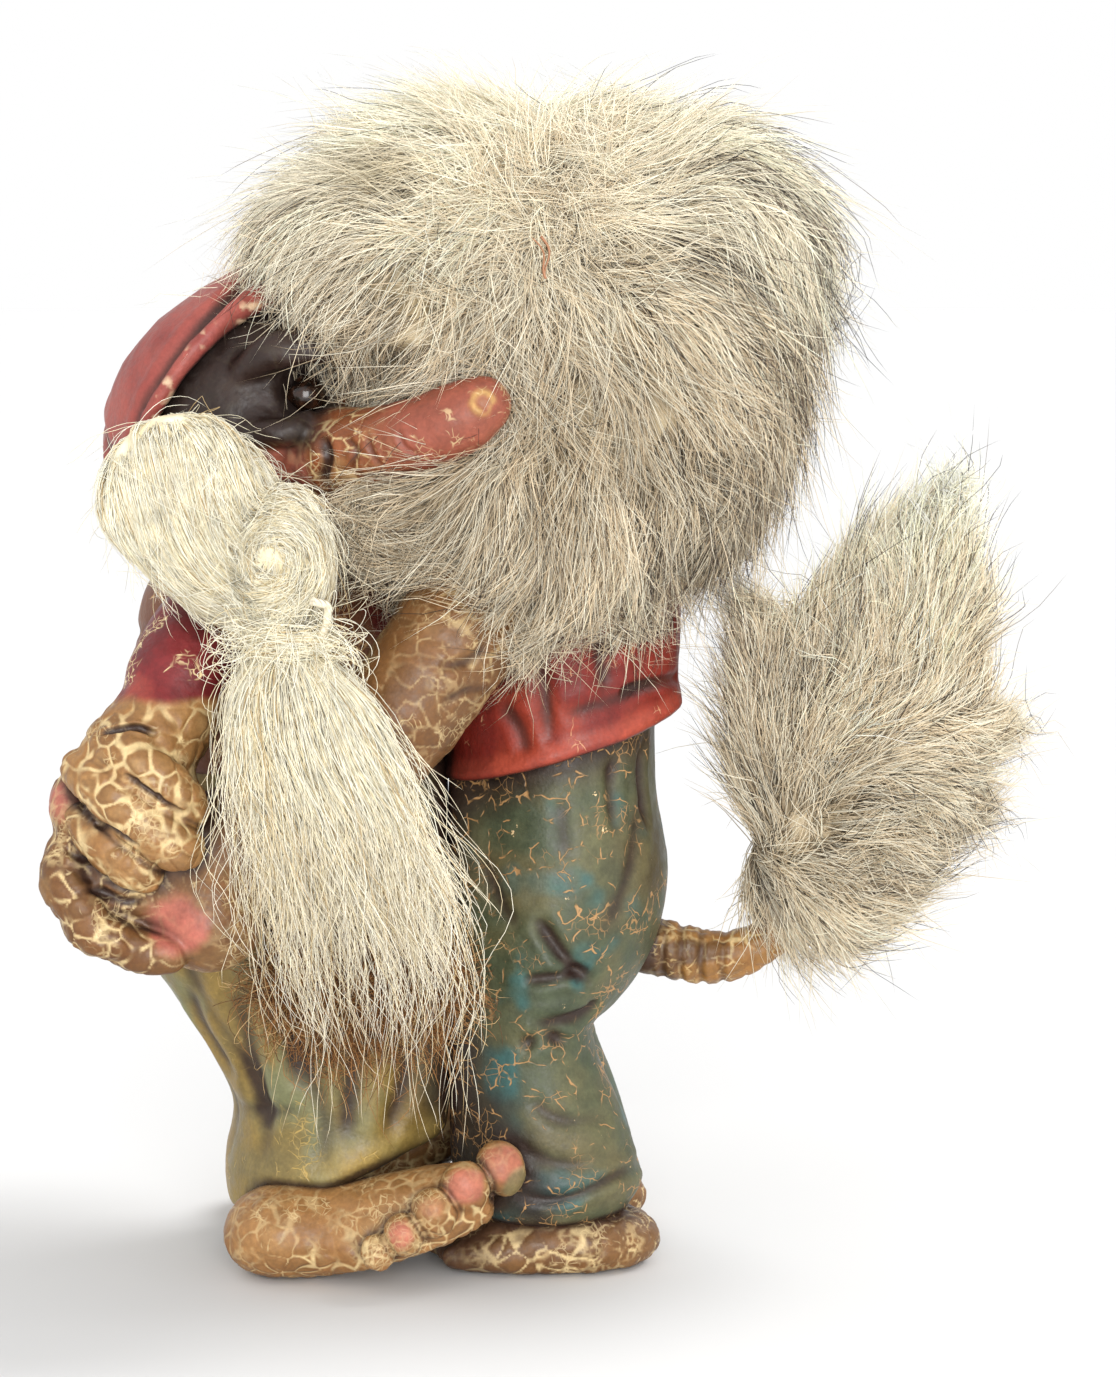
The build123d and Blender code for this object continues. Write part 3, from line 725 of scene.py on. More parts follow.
S_HEAD, S_HEAD_R = (-47.0, -8.0, 165.0), (26.0, 26.0, 28.5)
S_EYES = [(-35.5, -29.0, 174.5), (-25.6, -17.5, 173.0)]
T_HEAD, T_HEAD_R = (8.0, 12.0, 178.0), (29.0, 28.0, 30.0)
T_EYES = [(-17.5, 26.2, 181.5), (-6.8, 36.0, 181.5)]


def toward(c, head, by):
    v = np.array(c, float) - np.array(head, float)
    return tuple(np.array(c) + v / np.linalg.norm(v) * by)


s_nose = limb([(-35, -22, 163), (-29, -32, 163.2), (-22, -38.5, 164.8), (-14, -43, 167.4), (-6.5, -45.5, 170.6), (-2.2, -46.6, 173.2)],
              [8.8, 8.6, 7.4, 6.8, 6.6, 5.2], 3)
s_face = join(3.0, egg(S_HEAD, (25.6, 25.6, 28.5)), egg((-37, -24, 148), (10, 10, 9)), egg((-33, -18, 146), (11, 11, 8)))
s_face = join(2.2, s_face, egg((-42.5, -31.0, 165.5), (6.2, 5.0, 5.4)), egg((-23, -13, 163.5), (6, 6, 5.6)))
s_brow = limb([(-47.5, -30.0, 178.5), (-42, -31.6, 182.0), (-35, -31.4, 182.6), (-29, -27.6, 181.0)], [2.6, 3.6, 3.8, 3.2], 3)
s_face = join(1.8, s_face, s_brow)
for c in S_EYES:
    s_face = minus(s_face, egg(toward(c, S_HEAD, 2.2), (6.4, 6.0, 4.4)), 2.5)
s_face = join(0.8, s_face, limb([toward(at(247, 428, -33), S_HEAD, -0.5), at(268, 433, -35.2), at(292, 431, -35.4), at(308, 418, -33.6)], [1.6, 2.4, 2.5, 1.6], 3))
s_face = join(1.6, s_face, s_nose)
s_face = join(1.0, s_face, limb([(-32.5, -31.8, 153.6), (-27, -33.5, 152.0), (-21, -30.5, 153.0)], [2.4, 3.0, 2.2], 3),
              limb([(-33, -31.0, 149.0), (-27, -32.6, 147.4), (-21.5, -29.5, 148.4)], [2.2, 3.0, 2.2], 3))
s_head = cut(s_face, (0, 0, 141.2), (0, 0, -1), 1.0)
for c in S_EYES:
    s_head = minus(s_head, egg(toward(c, S_HEAD, -0.6), (3.5, 3.5, 3.5)), 0.6)

t_nose = limb([(-7, 25, 171), (-17, 36, 169), (-25.5, 45.5, 167.2), (-31, 51, 166.6)], [9.0, 8.0, 7.6, 6.4], 3)
_fwd = np.array([-0.68, 0.70, 0.0]) / np.linalg.norm([-0.68, 0.70, 0.0])
_sid = np.array([0.72, 0.69, 0.0])


def t_place(side, out, z):
    """A point on the tailed troll's face: sideways, forwards from the middle of the head, and its level."""
    return tuple(np.array([T_HEAD[0], T_HEAD[1], 0]) + _sid * side + _fwd * out + np.array([0, 0, z]))


t_face = join(3.0, egg(T_HEAD, T_HEAD_R), egg(t_place(0, 18, 158.5), (13, 13, 8)))
t_face = join(2.2, t_face, egg(t_place(-13, 23.5, 169), (6.4, 6.4, 5.8)), egg(t_place(13, 23.5, 169), (6.4, 6.4, 5.8)))
t_brow = [limb([t_place(s * 3, 28.5, 188), t_place(s * 9, 28.0, 190), t_place(s * 15, 24.0, 188)], [3.0, 3.6, 2.6], 3) for s in (-1, 1)]
t_face = join(1.8, t_face, *t_brow)
for c in T_EYES:
    t_face = minus(t_face, egg(toward(c, T_HEAD, 2.2), (6.2, 6.2, 4.4)), 2.5)
t_face = join(1.6, t_face, t_nose)
t_mouth = [limb([t_place(-11, 24.5, 160.5), t_place(-4, 28.5, 158.6), t_place(4, 28.5, 158.6), t_place(11, 24.5, 160.5)], [1.8, 2.7, 2.7, 1.8], 3),
           limb([t_place(-9, 24.0, 155.6), t_place(-3, 27.6, 153.6), t_place(3, 27.6, 153.6), t_place(9, 24.0, 155.6)], [1.8, 2.9, 2.9, 1.8], 3)]
t_face = join(1.0, t_face, *t_mouth)
t_head = cut(t_face, (0, 0, 154.2), (0, 0, -1), 1.0)
t_head = join(1.5, t_head, egg(t_place(0, 20, 150.5), (10, 10, 6.5)))
for c in T_EYES:
    t_head = minus(t_head, egg(toward(c, T_HEAD, -0.6), (3.5, 3.5, 3.5)), 0.6)

SCARF, SCARF_R = (-48.5, -5.0, 165.5), (29.0, 31.0, 33.0)
SCARF_P, SCARF_N = np.array((-49.0, -27.0, 182.5)), np.array((0.66, -0.56, -0.50))
_sn = (SCARF_N / np.linalg.norm(SCARF_N)).astype(F)
SCARF_P = SCARF_P - 2.6 * _sn
SCARF_FLATS = [((-65.8, 187.5), (-0.582, 0.813)), ((-73.6, 179.5), (-0.716, 0.698)), ((-78.2, 171.4), (-0.87, 0.494))]


def scarf_flat(p):
    """The distance past the flatter upper back of the headscarf."""
    return np.max([(p[:, 0] - a) * m + (p[:, 2] - c) * k for (a, c), (m, k) in SCARF_FLATS], axis=0).astype(F) - 0.5


def s_scarf(p):
    h = (p - SCARF_P.astype(F)) @ _sn
    flat = scarf_flat(p)
    outer = smax(egg(SCARF, SCARF_R)(p), flat, 5.0) - 1.0 * np.exp(-((h + 2.2) / 2.4) ** 2)
    inner = smax(egg(S_HEAD, tuple(r + 0.2 for r in S_HEAD_R))(p), flat + 1.8, 3.0)
    d = smax(outer, -inner, 1.2)
    d = smax(d, h, 2.0)
    return smax(d, 141.0 - p[:, 2], 1.5)


TAIL_PATH = [(25, 2, 61), (29.5, 2, 61), (36.5, 2, 59.4), (44, 2, 58.4), (50.5, 2, 60.2), (56.5, 2, 64), (61, 2, 69)]
tail = limb(TAIL_PATH, [4.4, 5.5, 5.6, 5.0, 4.5, 3.9, 3.0], 4)

MOULDINGS = {
    "t_trousers": (t_trousers, (-12, -30, 8), (36, 30, 108)),
    "t_shirt": (t_shirt, (-18, -36, 88), (40, 36, 158)),
    "t_head": (t_head, (-42, -20, 140), (42, 62, 212)),
    "t_left_arm": (t_left_arm, (-92, -62, 62), (18, -20, 156)),
    "t_right_arm": (t_right_arm, (-90, 0, 90), (18, 56, 152)),
    "t_left_foot": (t_left_foot, (-20, -32, -2), (36, 2, 14)),
    "t_right_foot": (t_right_foot, (-22, 0, -2), (34, 34, 14)),
    "s_skirt": (s_skirt, (-78, -31, 2), (-6, 31, 104)),
    "s_bodice": (s_bodice, (-76, -28, 97), (-14, 28, 144)),
    "s_head": (s_head, (-76, -54, 138), (6, 22, 198)),
    "s_scarf": (s_scarf, (-82, -40, 138), (-14, 30, 202)),
    "s_right_arm": (s_right_arm, (-86, -66, 80), (-38, -12, 144)),
    "s_left_arm": (s_left_arm, (-58, 10, 116), (20, 56, 162)),
    "s_right_foot": (s_right_foot, (-58, -44, -2), (12, -8, 30)),
    "s_left_foot": (s_left_foot, (-58, 8, -2), (12, 44, 30)),
    "tail": (tail, (22, -8, 50), (68, 12, 76)),
}

# a coarse grid of the distance to all of them together
_lo, _hi, _h = np.array([-104.0, -76.0, -8.0]), np.array([104.0, 76.0, 224.0]), 2.0
_axes = [np.arange(_lo[k], _hi[k] + _h, _h, dtype=F) for k in range(3)]
_grid = np.full(tuple(len(a) for a in _axes), 30.0, F)
for _name, (_f, _a, _b) in MOULDINGS.items():
    _i0 = [max(int((_a[k] - 12 - _lo[k]) / _h), 0) for k in range(3)]
    _i1 = [min(int((_b[k] + 12 - _lo[k]) / _h) + 1, _grid.shape[k]) for k in range(3)]
    gx, gy, gz = np.meshgrid(*[_axes[k][_i0[k]:_i1[k]] for k in range(3)], indexing="ij")
    _v = _f(np.column_stack([gx.ravel(), gy.ravel(), gz.ravel()]).astype(F)).reshape(gx.shape)
    _s = tuple(slice(_i0[k], _i1[k]) for k in range(3))
    _grid[_s] = np.minimum(_grid[_s], _v)
WORLD.update(grid=np.minimum(_grid, 30), lo=_lo.astype(F), h=_h)
log("distance grid")


# ---- materials ------------------------------------------------------------------------------

def nodes_for(name):
    m = bpy.data.materials.new(name)
    m.use_nodes = True
    nt = m.node_tree
    nt.nodes.clear()
    out = nt.nodes.new("ShaderNodeOutputMaterial")
    bsdf = nt.nodes.new("ShaderNodeBsdfPrincipled")
    nt.links.new(bsdf.outputs[0], out.inputs[0])
    return m, nt, bsdf


def node(nt, kind, ins=None, **props):
    n = nt.nodes.new("ShaderNode" + kind)
    for k, v in props.items():
        setattr(n, k, v)
    for k, v in (ins or {}).items():
        s = n.inputs[k]
        if isinstance(v, bpy.types.NodeSocket):
            nt.links.new(v, s)
        else:
            s.default_value = v
    return n


def mixed(nt, fac, a, b, mode="MIX"):
    n = nt.nodes.new("ShaderNodeMix")
    n.data_type, n.blend_type, n.clamp_factor = "RGBA", mode, True
    for s, v in ((n.inputs["Factor"], fac), (n.inputs[6], a), (n.inputs[7], b)):
        if isinstance(v, bpy.types.NodeSocket):
            nt.links.new(v, s)
        else:
            s.default_value = v if isinstance(v, (int, float)) else (*v, 1) if len(v) == 3 else v
    return n.outputs[2]


def math_(nt, op, a, b=None, c=None, clamp=False):
    n = nt.nodes.new("ShaderNodeMath")
    n.operation, n.use_clamp = op, clamp
    for i, v in enumerate((a, b, c)):
        if v is None:
            continue
        if isinstance(v, bpy.types.NodeSocket):
            nt.links.new(v, n.inputs[i])
        else:
            n.inputs[i].default_value = v
    return n.outputs[0]


def ramp(nt, fac, *stops):
    n = node(nt, "ValToRGB", {"Fac": fac})
    r = n.color_ramp
    while len(r.elements) > 1:
        r.elements.remove(r.elements[-1])
    for i, (pos, col) in enumerate(stops):
        e = r.elements[0] if i == 0 else r.elements.new(pos)
        e.position = pos
        e.color = (*col, 1) if len(col) == 3 else col
    return n.outputs[0]


def band(nt, value, a, b, to0=0.0, to1=1.0):
    n = node(nt, "MapRange", {"Value": value, "From Min": a, "From Max": b, "To Min": to0, "To Max": to1}, interpolation_type="SMOOTHSTEP")
    return n.outputs[0]


def coords(nt, warp=0.0008, size=0.004):
    tc = node(nt, "TexCoord")
    nz = node(nt, "TexNoise", {"Vector": tc.outputs["Object"], "Scale": 1 / size, "Detail": 2.0})
    sub = node(nt, "VectorMath", {0: nz.outputs["Color"], 1: (0.5, 0.5, 0.5)}, operation="SUBTRACT")
    sc = node(nt, "VectorMath", {0: sub.outputs[0], "Scale": warp * 2}, operation="SCALE")
    return tc.outputs["Object"], node(nt, "VectorMath", {0: tc.outputs["Object"], 1: sc.outputs[0]}, operation="ADD").outputs[0]


def painted(name, crack, big=5.0, big_w=0.20, big_keep=0.5, fine=1.7, fine_w=0.10, fine_keep=0.45, rough=(0.42, 0.62), bump=0.35, mottle=0.22,
            chip=(235, 215, 175), chips=0.0):
    """Painted moulded rubber: the paint from the mesh, a broken net of cracks at two sizes, mottling and a leathery grain."""
    m, nt, bsdf = nodes_for(name)
    raw, vec = coords(nt, 0.0011, 0.0035)
    att = node(nt, "Attribute", attribute_name="paint")
    keep_noise = node(nt, "TexNoise", {"Vector": raw, "Scale": 1 / 0.011, "Detail": 3.0, "Roughness": 0.6})
    keep = band(nt, keep_noise.outputs["Fac"], 0.62 - big_keep * 0.35, 0.68 - big_keep * 0.35)
    keep2 = band(nt, keep_noise.outputs["Fac"], 0.66 - fine_keep * 0.35, 0.72 - fine_keep * 0.35)
    v1 = node(nt, "TexVoronoi", {"Vector": vec, "Scale": 1000.0 / big}, feature="DISTANCE_TO_EDGE")
    v2 = node(nt, "TexVoronoi", {"Vector": vec, "Scale": 1000.0 / fine}, feature="DISTANCE_TO_EDGE")
    c1 = band(nt, v1.outputs["Distance"], big_w / big * 0.5, big_w / big * 1.6, 1.0, 0.0)
    c2 = band(nt, v2.outputs["Distance"], fine_w / fine * 0.5, fine_w / fine * 1.6, 1.0, 0.0)
    broken = node(nt, "TexNoise", {"Vector": raw, "Scale": 1 / 0.0024, "Detail": 1.0})
    c1 = math_(nt, "MULTIPLY", c1, band(nt, broken.outputs["Fac"], 0.44, 0.56))
    k1 = math_(nt, "MULTIPLY", math_(nt, "MULTIPLY", c1, keep), att.outputs["Alpha"], clamp=True)
    k2 = math_(nt, "MULTIPLY", math_(nt, "MULTIPLY", c2, keep2), att.outputs["Alpha"], clamp=True)
    cracks = math_(nt, "MAXIMUM", k1, math_(nt, "MULTIPLY", k2, 0.75))
    mot = node(nt, "TexNoise", {"Vector": raw, "Scale": 1 / 0.0026, "Detail": 4.0, "Roughness": 0.65})
    spot = node(nt, "TexNoise", {"Vector": raw, "Scale": 1 / 0.0008, "Detail": 2.0})
    tone = ramp(nt, mot.outputs["Fac"], (0.3, (1 - mottle,) * 3), (0.7, (1 + mottle * 0.55,) * 3))
    base = mixed(nt, 1.0, att.outputs["Color"], tone, "MULTIPLY")
    tone2 = ramp(nt, spot.outputs["Fac"], (0.35, (0.90,) * 3), (0.65, (1.06,) * 3))
    base = mixed(nt, 1.0, base, tone2, "MULTIPLY")
    col = mixed(nt, cracks, base, tuple(srgb(*crack)))
    if chips:
        cz = node(nt, "TexNoise", {"Vector": raw, "Scale": 1 / 0.005, "Detail": 5.0, "Roughness": 0.7})
        cm = math_(nt, "MULTIPLY", band(nt, cz.outputs["Fac"], 0.72 - chips * 0.1, 0.74 - chips * 0.1), att.outputs["Alpha"], clamp=True)
        col = mixed(nt, cm, col, tuple(srgb(*chip)))
    nt.links.new(col, bsdf.inputs["Base Color"])
    r = band(nt, mot.outputs["Fac"], 0.3, 0.7, rough[0], rough[1])
    nt.links.new(r, bsdf.inputs["Roughness"])
    bsdf.inputs["Specular IOR Level"].default_value = 0.42
    grain = node(nt, "TexVoronoi", {"Vector": raw, "Scale": 1 / 0.0007})
    hgt = math_(nt, "ADD", math_(nt, "MULTIPLY", cracks, -0.8), math_(nt, "MULTIPLY", grain.outputs["Distance"], 0.16))
    hgt = math_(nt, "ADD", hgt, math_(nt, "MULTIPLY", mot.outputs["Fac"], 0.55))
    b = node(nt, "Bump", {"Height": hgt, "Strength": bump, "Distance": 0.0006})
    nt.links.new(b.outputs[0], bsdf.inputs["Normal"])
    return m


M_SKIN = painted("skin_rubber", (232, 208, 156), 4.2, 0.13, 0.30, 1.7, 0.08, 0.35, (0.36, 0.6), 0.3, 0.2)
M_TROUSERS = painted("trouser_rubber", (176, 134, 86), 5.2, 0.11, 0.50, 2.2, 0.06, 0.35, (0.40, 0.6), 0.4, 0.25, (232, 200, 150), 0.35)
M_SHIRT = painted("shirt_rubber", (216, 160, 120), 5.5, 0.09, 0.10, 2.0, 0.06, 0.12, (0.40, 0.58), 0.35, 0.2)
M_SKIRT = painted("skirt_rubber", (190, 160, 90), 5.5, 0.10, 0.25, 2.2, 0.06, 0.22, (0.34, 0.55), 0.4, 0.22, (225, 200, 150), 0.2)
M_SCARF = painted("scarf_rubber", (238, 206, 165), 6.0, 0.12, 0.12, 2.0, 0.07, 0.12, (0.42, 0.62), 0.4, 0.18)
M_BODICE = painted("bodice_rubber", (205, 160, 110), 5.0, 0.14, 0.35, 2.0, 0.08, 0.3, (0.42, 0.6), 0.4, 0.2)
M_TAIL = painted("tail_rubber", (226, 196, 136), 3.6, 0.14, 0.3, 1.5, 0.08, 0.2, (0.36, 0.55), 0.4, 0.2)

# DARK is the colour of the dark crease paint and of the painted shade
DARK = srgb(48, 30, 24)
CREAM = srgb(228, 200, 146)
TAN = srgb(190, 144, 90)
PINK = srgb(196, 112, 98)


def shade(col, dark, ao, n, wash_and_shade=DARK, strength=0.9, ao_strength=0.75):
    """Darkens the colour in the creases, as dark paint settled there and as painted shade, and in the shelter of other
    pieces, as painted shade.
    """
    k = np.clip(dark * strength, 0, 1)
    col = mix(col, wash_and_shade, k ** 1.2)
    s = np.clip((0.80 - ao) * 1.7, 0, 1) * (0.15 + ao_strength)
    return mix(col, wash_and_shade, s)


def out(col, alpha):
    return np.column_stack([np.clip(col, 0, 1), np.clip(alpha, 0, 1) if np.ndim(alpha) else np.full(len(col), alpha)])


def scaly(base=TAN, size=4.8, deep=0.30, line=0.42, seed=3, pads=(), wash_and_shade=DARK, heavy=None, plain=0.0, light=CREAM, ridge=0.0, dim=0.60):
    """Skin with swollen cells parted by cream cracks. pads = (centre, radius, colour, strength): smooth places.
    heavy(p) from 0 to 1 says where the cells are bold."""
    def finish(p, n, dark, ao):
        border, who = cells(p + 0.5 * np.column_stack([noise(p, 2.6, seed + 81), noise(p, 2.6, seed + 82), noise(p, 2.6, seed + 83)]).astype(F), size, seed)
        b2, who2 = cells(p, size * 0.46, seed + 20, wobble=0.4)
        bold = heavy(p) if heavy else np.full(len(p), 1 - plain, F)
        soft = np.zeros(len(p), F)
        col = np.repeat(base[None, :], len(p), 0)
        col = col * (0.86 + 0.28 * who)[:, None]
        col = mix(col, col * np.array([0.78, 0.66, 0.52]), smooth(-0.1, 0.7, fbm(p, 9, 2, seed + 40)) * 0.55)
        col = mix(col, np.array([1, 1, 1]) * srgb(214, 176, 120), smooth(0.1, 0.7, fbm(p, 6, 2, seed + 50)) * 0.4)
        for c, r, rgb, k in pads:
            d = length(p - np.array(c, F)) / r
            w = (1 - smooth(0.62, 1.05, d + 0.16 * noise(p, 3, seed + 9))) * k
            col = mix(col, np.repeat(rgb[None, :], len(p), 0) * (0.92 + 0.16 * noise(p, 2.5, seed + 6))[:, None], w)
            soft = np.maximum(soft, w)
        bold = bold * (1 - 0.85 * soft)
        col = col * np.array([1.0, 0.95, 0.88]) * (dim + (0.92 - dim) * soft)[:, None]
        wide = 0.58 * line * (0.4 + 1.1 * np.clip(0.5 + 0.8 * noise(p, 7, seed + 60), 0, 1.4))
        crack = 1 - smooth(0.35 * wide, 1.1 * wide, border)
        crack = crack * smooth(-0.5, 0.0, noise(p, 4.2, seed + 61)) * smooth(-0.7, -0.2, noise(p, 1.9, seed + 64))
        crack2 = (1 - smooth(0.08, 0.26, b2)) * smooth(0.1, 0.45, noise(p, 4.5, seed + 62)) * 0.5
        line_all = np.maximum(crack, crack2) * np.clip(bold * 1.25, 0, 1)
        groove = 1 - smooth(0.0, 1.0, border)
        relief = -deep * groove * bold + 0.10 * fbm(p, 2.2, 2, seed + 70) - 0.08 * crack2 * bold + ridge * line_all
        # painted shade: darker in the creases and in the shelter of other pieces
        col = shade(col, dark, ao, n, wash_and_shade)
        edge = smooth(0.5 * wide, 1.6 * wide, border) * (1 - smooth(1.6 * wide, 3.4 * wide, border))
        col = mix(col, col * np.array([0.72, 0.60, 0.48]), edge * bold * 0.5)
        # the cream cracks fade where the shade is painted
        keep = np.clip(1 - dark * 1.1, 0, 1) * np.clip(ao * 1.9 - 0.2, 0.15, 1)
        col = mix(col, light * (0.9 + 0.1 * noise(p, 2, seed + 71))[:, None], line_all * keep * 0.9)
        return relief.astype(F), out(col, (0.45 * (1 - soft * 0.7)) * np.clip(1 - dark, 0.2, 1))
    return finish


def cloth(base, alt, third=None, wash_and_shade=DARK, seed=5, grain=0.12, crack=1.0, streak=None, extra=None, wave=9.0):
    """Painted clothing: two or three colours that run into each other, darker in the folds as dark paint and painted
    shade, and in the shelter of other pieces as painted shade.
    """
    def finish(p, n, dark, ao):
        a = smooth(-0.35, 0.45, fbm(p, wave, 3, seed))
        col = mix(np.repeat(base[None, :], len(p), 0), np.repeat(alt[None, :], len(p), 0), a)
        if third is not None:
            b = smooth(0.12, 0.5, fbm(p * np.array([1, 1, 0.7], F), wave * 1.2, 3, seed + 31))
            col = mix(col, np.repeat(third[None, :], len(p), 0), b)
        col = mix(col, col * 0.62, smooth(0.15, 0.7, fbm(p * np.array([1, 1, 0.35], F), 3.2, 2, seed + 17)) * 0.35)
        if extra:
            col = extra(p, n, col, dark, ao)
        col = shade(col, dark, ao, n, wash_and_shade)
        relief = grain * fbm(p, 3.0, 3, seed + 70) + 0.10 * noise(p, 8, seed + 71)
        return relief.astype(F), out(col, crack * np.clip(1 - dark * 1.2, 0.1, 1))
    return finish


# ---- sculpting each piece -------------------------------------------------------------------------

def hem_height(p, point, normal):
    nn = np.array(normal, float)
    return (p - np.array(point, F)) @ (nn / np.linalg.norm(nn)).astype(F)


LESS = 0

# trousers
mk = Marks()
for uvs, w, d, lip in (
    ([(536, 918), (562, 955), (592, 986)], 1.5, 1.5, 0.4), ([(522, 981), (556, 977), (590, 970)], 1.3, 1.2, 0.4), ([(518, 1046), (556, 1038), (600, 1040)], 1.5, 1.6, 0.5),
    ([(606, 722), (612, 770), (616, 835)], 1.6, 1.1, 0.3), ([(630, 715), (640, 770), (650, 830)], 1.5, 1.2, 0.3), ([(597, 1000), (588, 1012), (560, 1022), (530, 1024)], 1.7, 1.4, 0.4),
    ([(640, 800), (630, 870), (600, 940)], 2.2, 0.7, 0.0), ([(530, 1100), (560, 1120), (612, 1118)], 1.6, 0.7, 0.2), ([(520, 1150), (565, 1165), (628, 1150)], 1.6, 0.6, 0.2),
    ([(505, 1192), (560, 1200), (615, 1176), (640, 1160)], 1.2, 0.9, 0.3), ([(480, 850), (500, 900), (520, 930)], 2.0, 0.6, 0.0), ([(560, 800), (566, 860)], 2.0, 0.5, 0.0)):
    mk.seen(t_trousers, uvs, w, d, lip=lip)
mk.add([(20, 27, 70), (6, 26, 62), (-8, 20, 58)], 1.8, 1.4).add([(24, 24, 52), (10, 27, 50), (-6, 24, 50)], 1.6, 1.4).add([(22, 0, 54), (31, 0, 66), (33.5, 0, 80), (31, 0, 95)], 1.2, 1.2, taper=False)
mk.add([(24, 18, 30), (8, 27, 27), (-6, 22, 30)], 1.6, 1.0)


def trouser_patches(p, n, col, dark, ao):
    t = smooth(0.06, 0.42, fbm(p, 10, 3, 91)) * 0.8
    col = mix(col, np.repeat(srgb(48, 100, 100)[None, :], len(p), 0), t)
    b = smooth(0.05, 0.5, fbm(p, 16, 3, 97))
    col = mix(col, np.repeat(srgb(112, 96, 62)[None, :], len(p), 0), b * 0.45)
    back = smooth(16, 30, p[:, 0]) * smooth(60, 80, p[:, 2]) * (1 - smooth(-8, 8, p[:, 1])) * 0.7
    col = mix(col, np.repeat(srgb(74, 62, 44)[None, :], len(p), 0), back * smooth(-0.3, 0.5, fbm(p, 7, 3, 99)))
    cuff = (1 - smooth(11, 24, p[:, 2])) * 0.4
    # painted shadow in the gap between his leg and her skirt and foot, laid along a line in the picture
    u, v = picture(p)
    shadow_lane = np.array([(446, 1000), (456, 1060), (470, 1105), (500, 1150), (528, 1190), (540, 1230)], float)
    near = np.full(len(p), 1e9)
    for a_, b_ in zip(shadow_lane[:-1], shadow_lane[1:]):
        t_ = np.clip(((u - a_[0]) * (b_ - a_)[0] + (v - a_[1]) * (b_ - a_)[1]) / ((b_ - a_) ** 2).sum(), 0, 1)
        near = np.minimum(near, np.hypot(u - a_[0] - t_ * (b_ - a_)[0], v - a_[1] - t_ * (b_ - a_)[1]))
    gap_shadow = np.exp(-((near + 9 * noise(p, 5, 103)) / 34) ** 2) * (p[:, 1] < 6)
    col = mix(col, np.repeat(srgb(42, 31, 25)[None, :], len(p), 0), gap_shadow * 0.92)
    # painted shade where the two trolls meet at the belly
    col = mix(col, np.repeat(srgb(44, 30, 24)[None, :], len(p), 0), (1 - smooth(0.5, 8.0, p[:, 0] - BELLY_X)) * 0.9)
    # painted shade under the shirt hem
    h = hem_height(p, HEM_P, HEM_N)
    col = mix(col, np.repeat(srgb(52, 34, 26)[None, :], len(p), 0), smooth(-10, -2.5, h + 2.5 * noise(p, 6, 98)) * 0.75)
    return mix(col, np.repeat(srgb(130, 124, 90)[None, :], len(p), 0), cuff * smooth(-0.2, 0.4, fbm(p, 6, 2, 101)))


f, lo, hi = MOULDINGS["t_trousers"]
sculpt("tailed_troll_trousers_body", f, lo, hi, 1.2, 1, cloth(srgb(72, 80, 58), srgb(96, 94, 64), None, seed=5, extra=trouser_patches, crack=1.0),
       ["tailed_troll_trousers"], M_TROUSERS, marks=mk)

# shirt
mk = Marks()
for uvs, w, d, lip in (
    ([(604, 652), (624, 632), (650, 630), (677, 620)], 1.7, 2.4, 0.6), ([(620, 692), (648, 684), (677, 676)], 1.2, 1.2, 0.5), ([(612, 662), (646, 662), (677, 650)], 2.4, -1.0, 0.0),
    ([(530, 640), (545, 690), (548, 745)], 1.8, 0.8, 0.3), ([(575, 600), (600, 650), (606, 700)], 2.0, 0.9, 0.3), ([(500, 700), (520, 730), (525, 755)], 1.8, 0.7, 0.3),
    ([(640, 570), (655, 600), (676, 606)], 2.0, 0.9, 0.3), ([(560, 715), (600, 705), (640, 690)], 1.6, 0.6, 0.2)):
    mk.seen(t_shirt, uvs, w, d, lip=lip)
mk.add([(34, -6, 112), (35, 4, 111), (30, 18, 113)], 1.8, 1.8).add([(33, 4, 124), (28, 20, 126), (14, 30, 127)], 1.8, 1.3).add([(30, 14, 104), (14, 27, 101), (-4, 26, 100)], 1.7, 1.1)
f, lo, hi = MOULDINGS["t_shirt"]


def shirt_extra(p, n, col, dark, ao):
    h = hem_height(p, HEM_P, HEM_N)
    col = mix(col, np.repeat(srgb(196, 92, 70)[None, :], len(p), 0), (1 - smooth(0.4, 3.0, np.abs(h - 1.8))) * 0.35)
    # painted shade on the underside of the hem
    return mix(col, np.repeat(srgb(40, 24, 20)[None, :], len(p), 0), 1 - smooth(-0.7, 0.25, h))


sculpt("tailed_troll_shirt_body", f, lo, hi, 1.15, 1, cloth(srgb(140, 40, 26), srgb(114, 30, 22), srgb(152, 56, 36), seed=15, extra=shirt_extra, crack=0.9, wave=12),
       ["tailed_troll_shirt"], M_SHIRT, marks=mk)
log("clothes of the tailed troll")

# near hands
mk = Marks()
mk.seen(s_right_arm, [(98, 735), (112, 730), (136, 727), (158, 735)], 0.55, 0.9, lip=0.25)
mk.seen(s_right_arm, [(123, 774), (140, 786), (160, 800), (184, 815)], 0.60, 0.9, taper=True)
mk.seen(s_right_arm, [(96, 821), (116, 834), (138, 848)], 0.60, 0.9, taper=True)
f, lo, hi = MOULDINGS["s_right_arm"]
BOLD = lambda p: np.clip(1.15 - smooth(112, 120, p[:, 2]), 0, 1)


def her_arm_finish(p, n, dark, ao):
    relief, col = scaly(size=4.8, deep=0.34, line=0.56, seed=33, heavy=BOLD,
                        pads=[(tuple(at(198, 838, -53)), 3.2, srgb(176, 130, 92), 0.6)])(p, n, dark, ao)
    t = smooth(117.5, 119.5, p[:, 2] + 0.8 * noise(p, 4, 7))
    r2, c2 = cloth(srgb(118, 34, 36), srgb(92, 26, 28), srgb(150, 60, 50), seed=25, wave=7)(p, n, dark, ao)
    return relief * (1 - t) + r2 * t, mix(col, c2, t)


sculpt("scarf_troll_right_arm_body", f, lo, hi, 1.14, 2 - LESS, her_arm_finish, ["scarf_troll_right_arm"], M_SKIN, marks=mk)

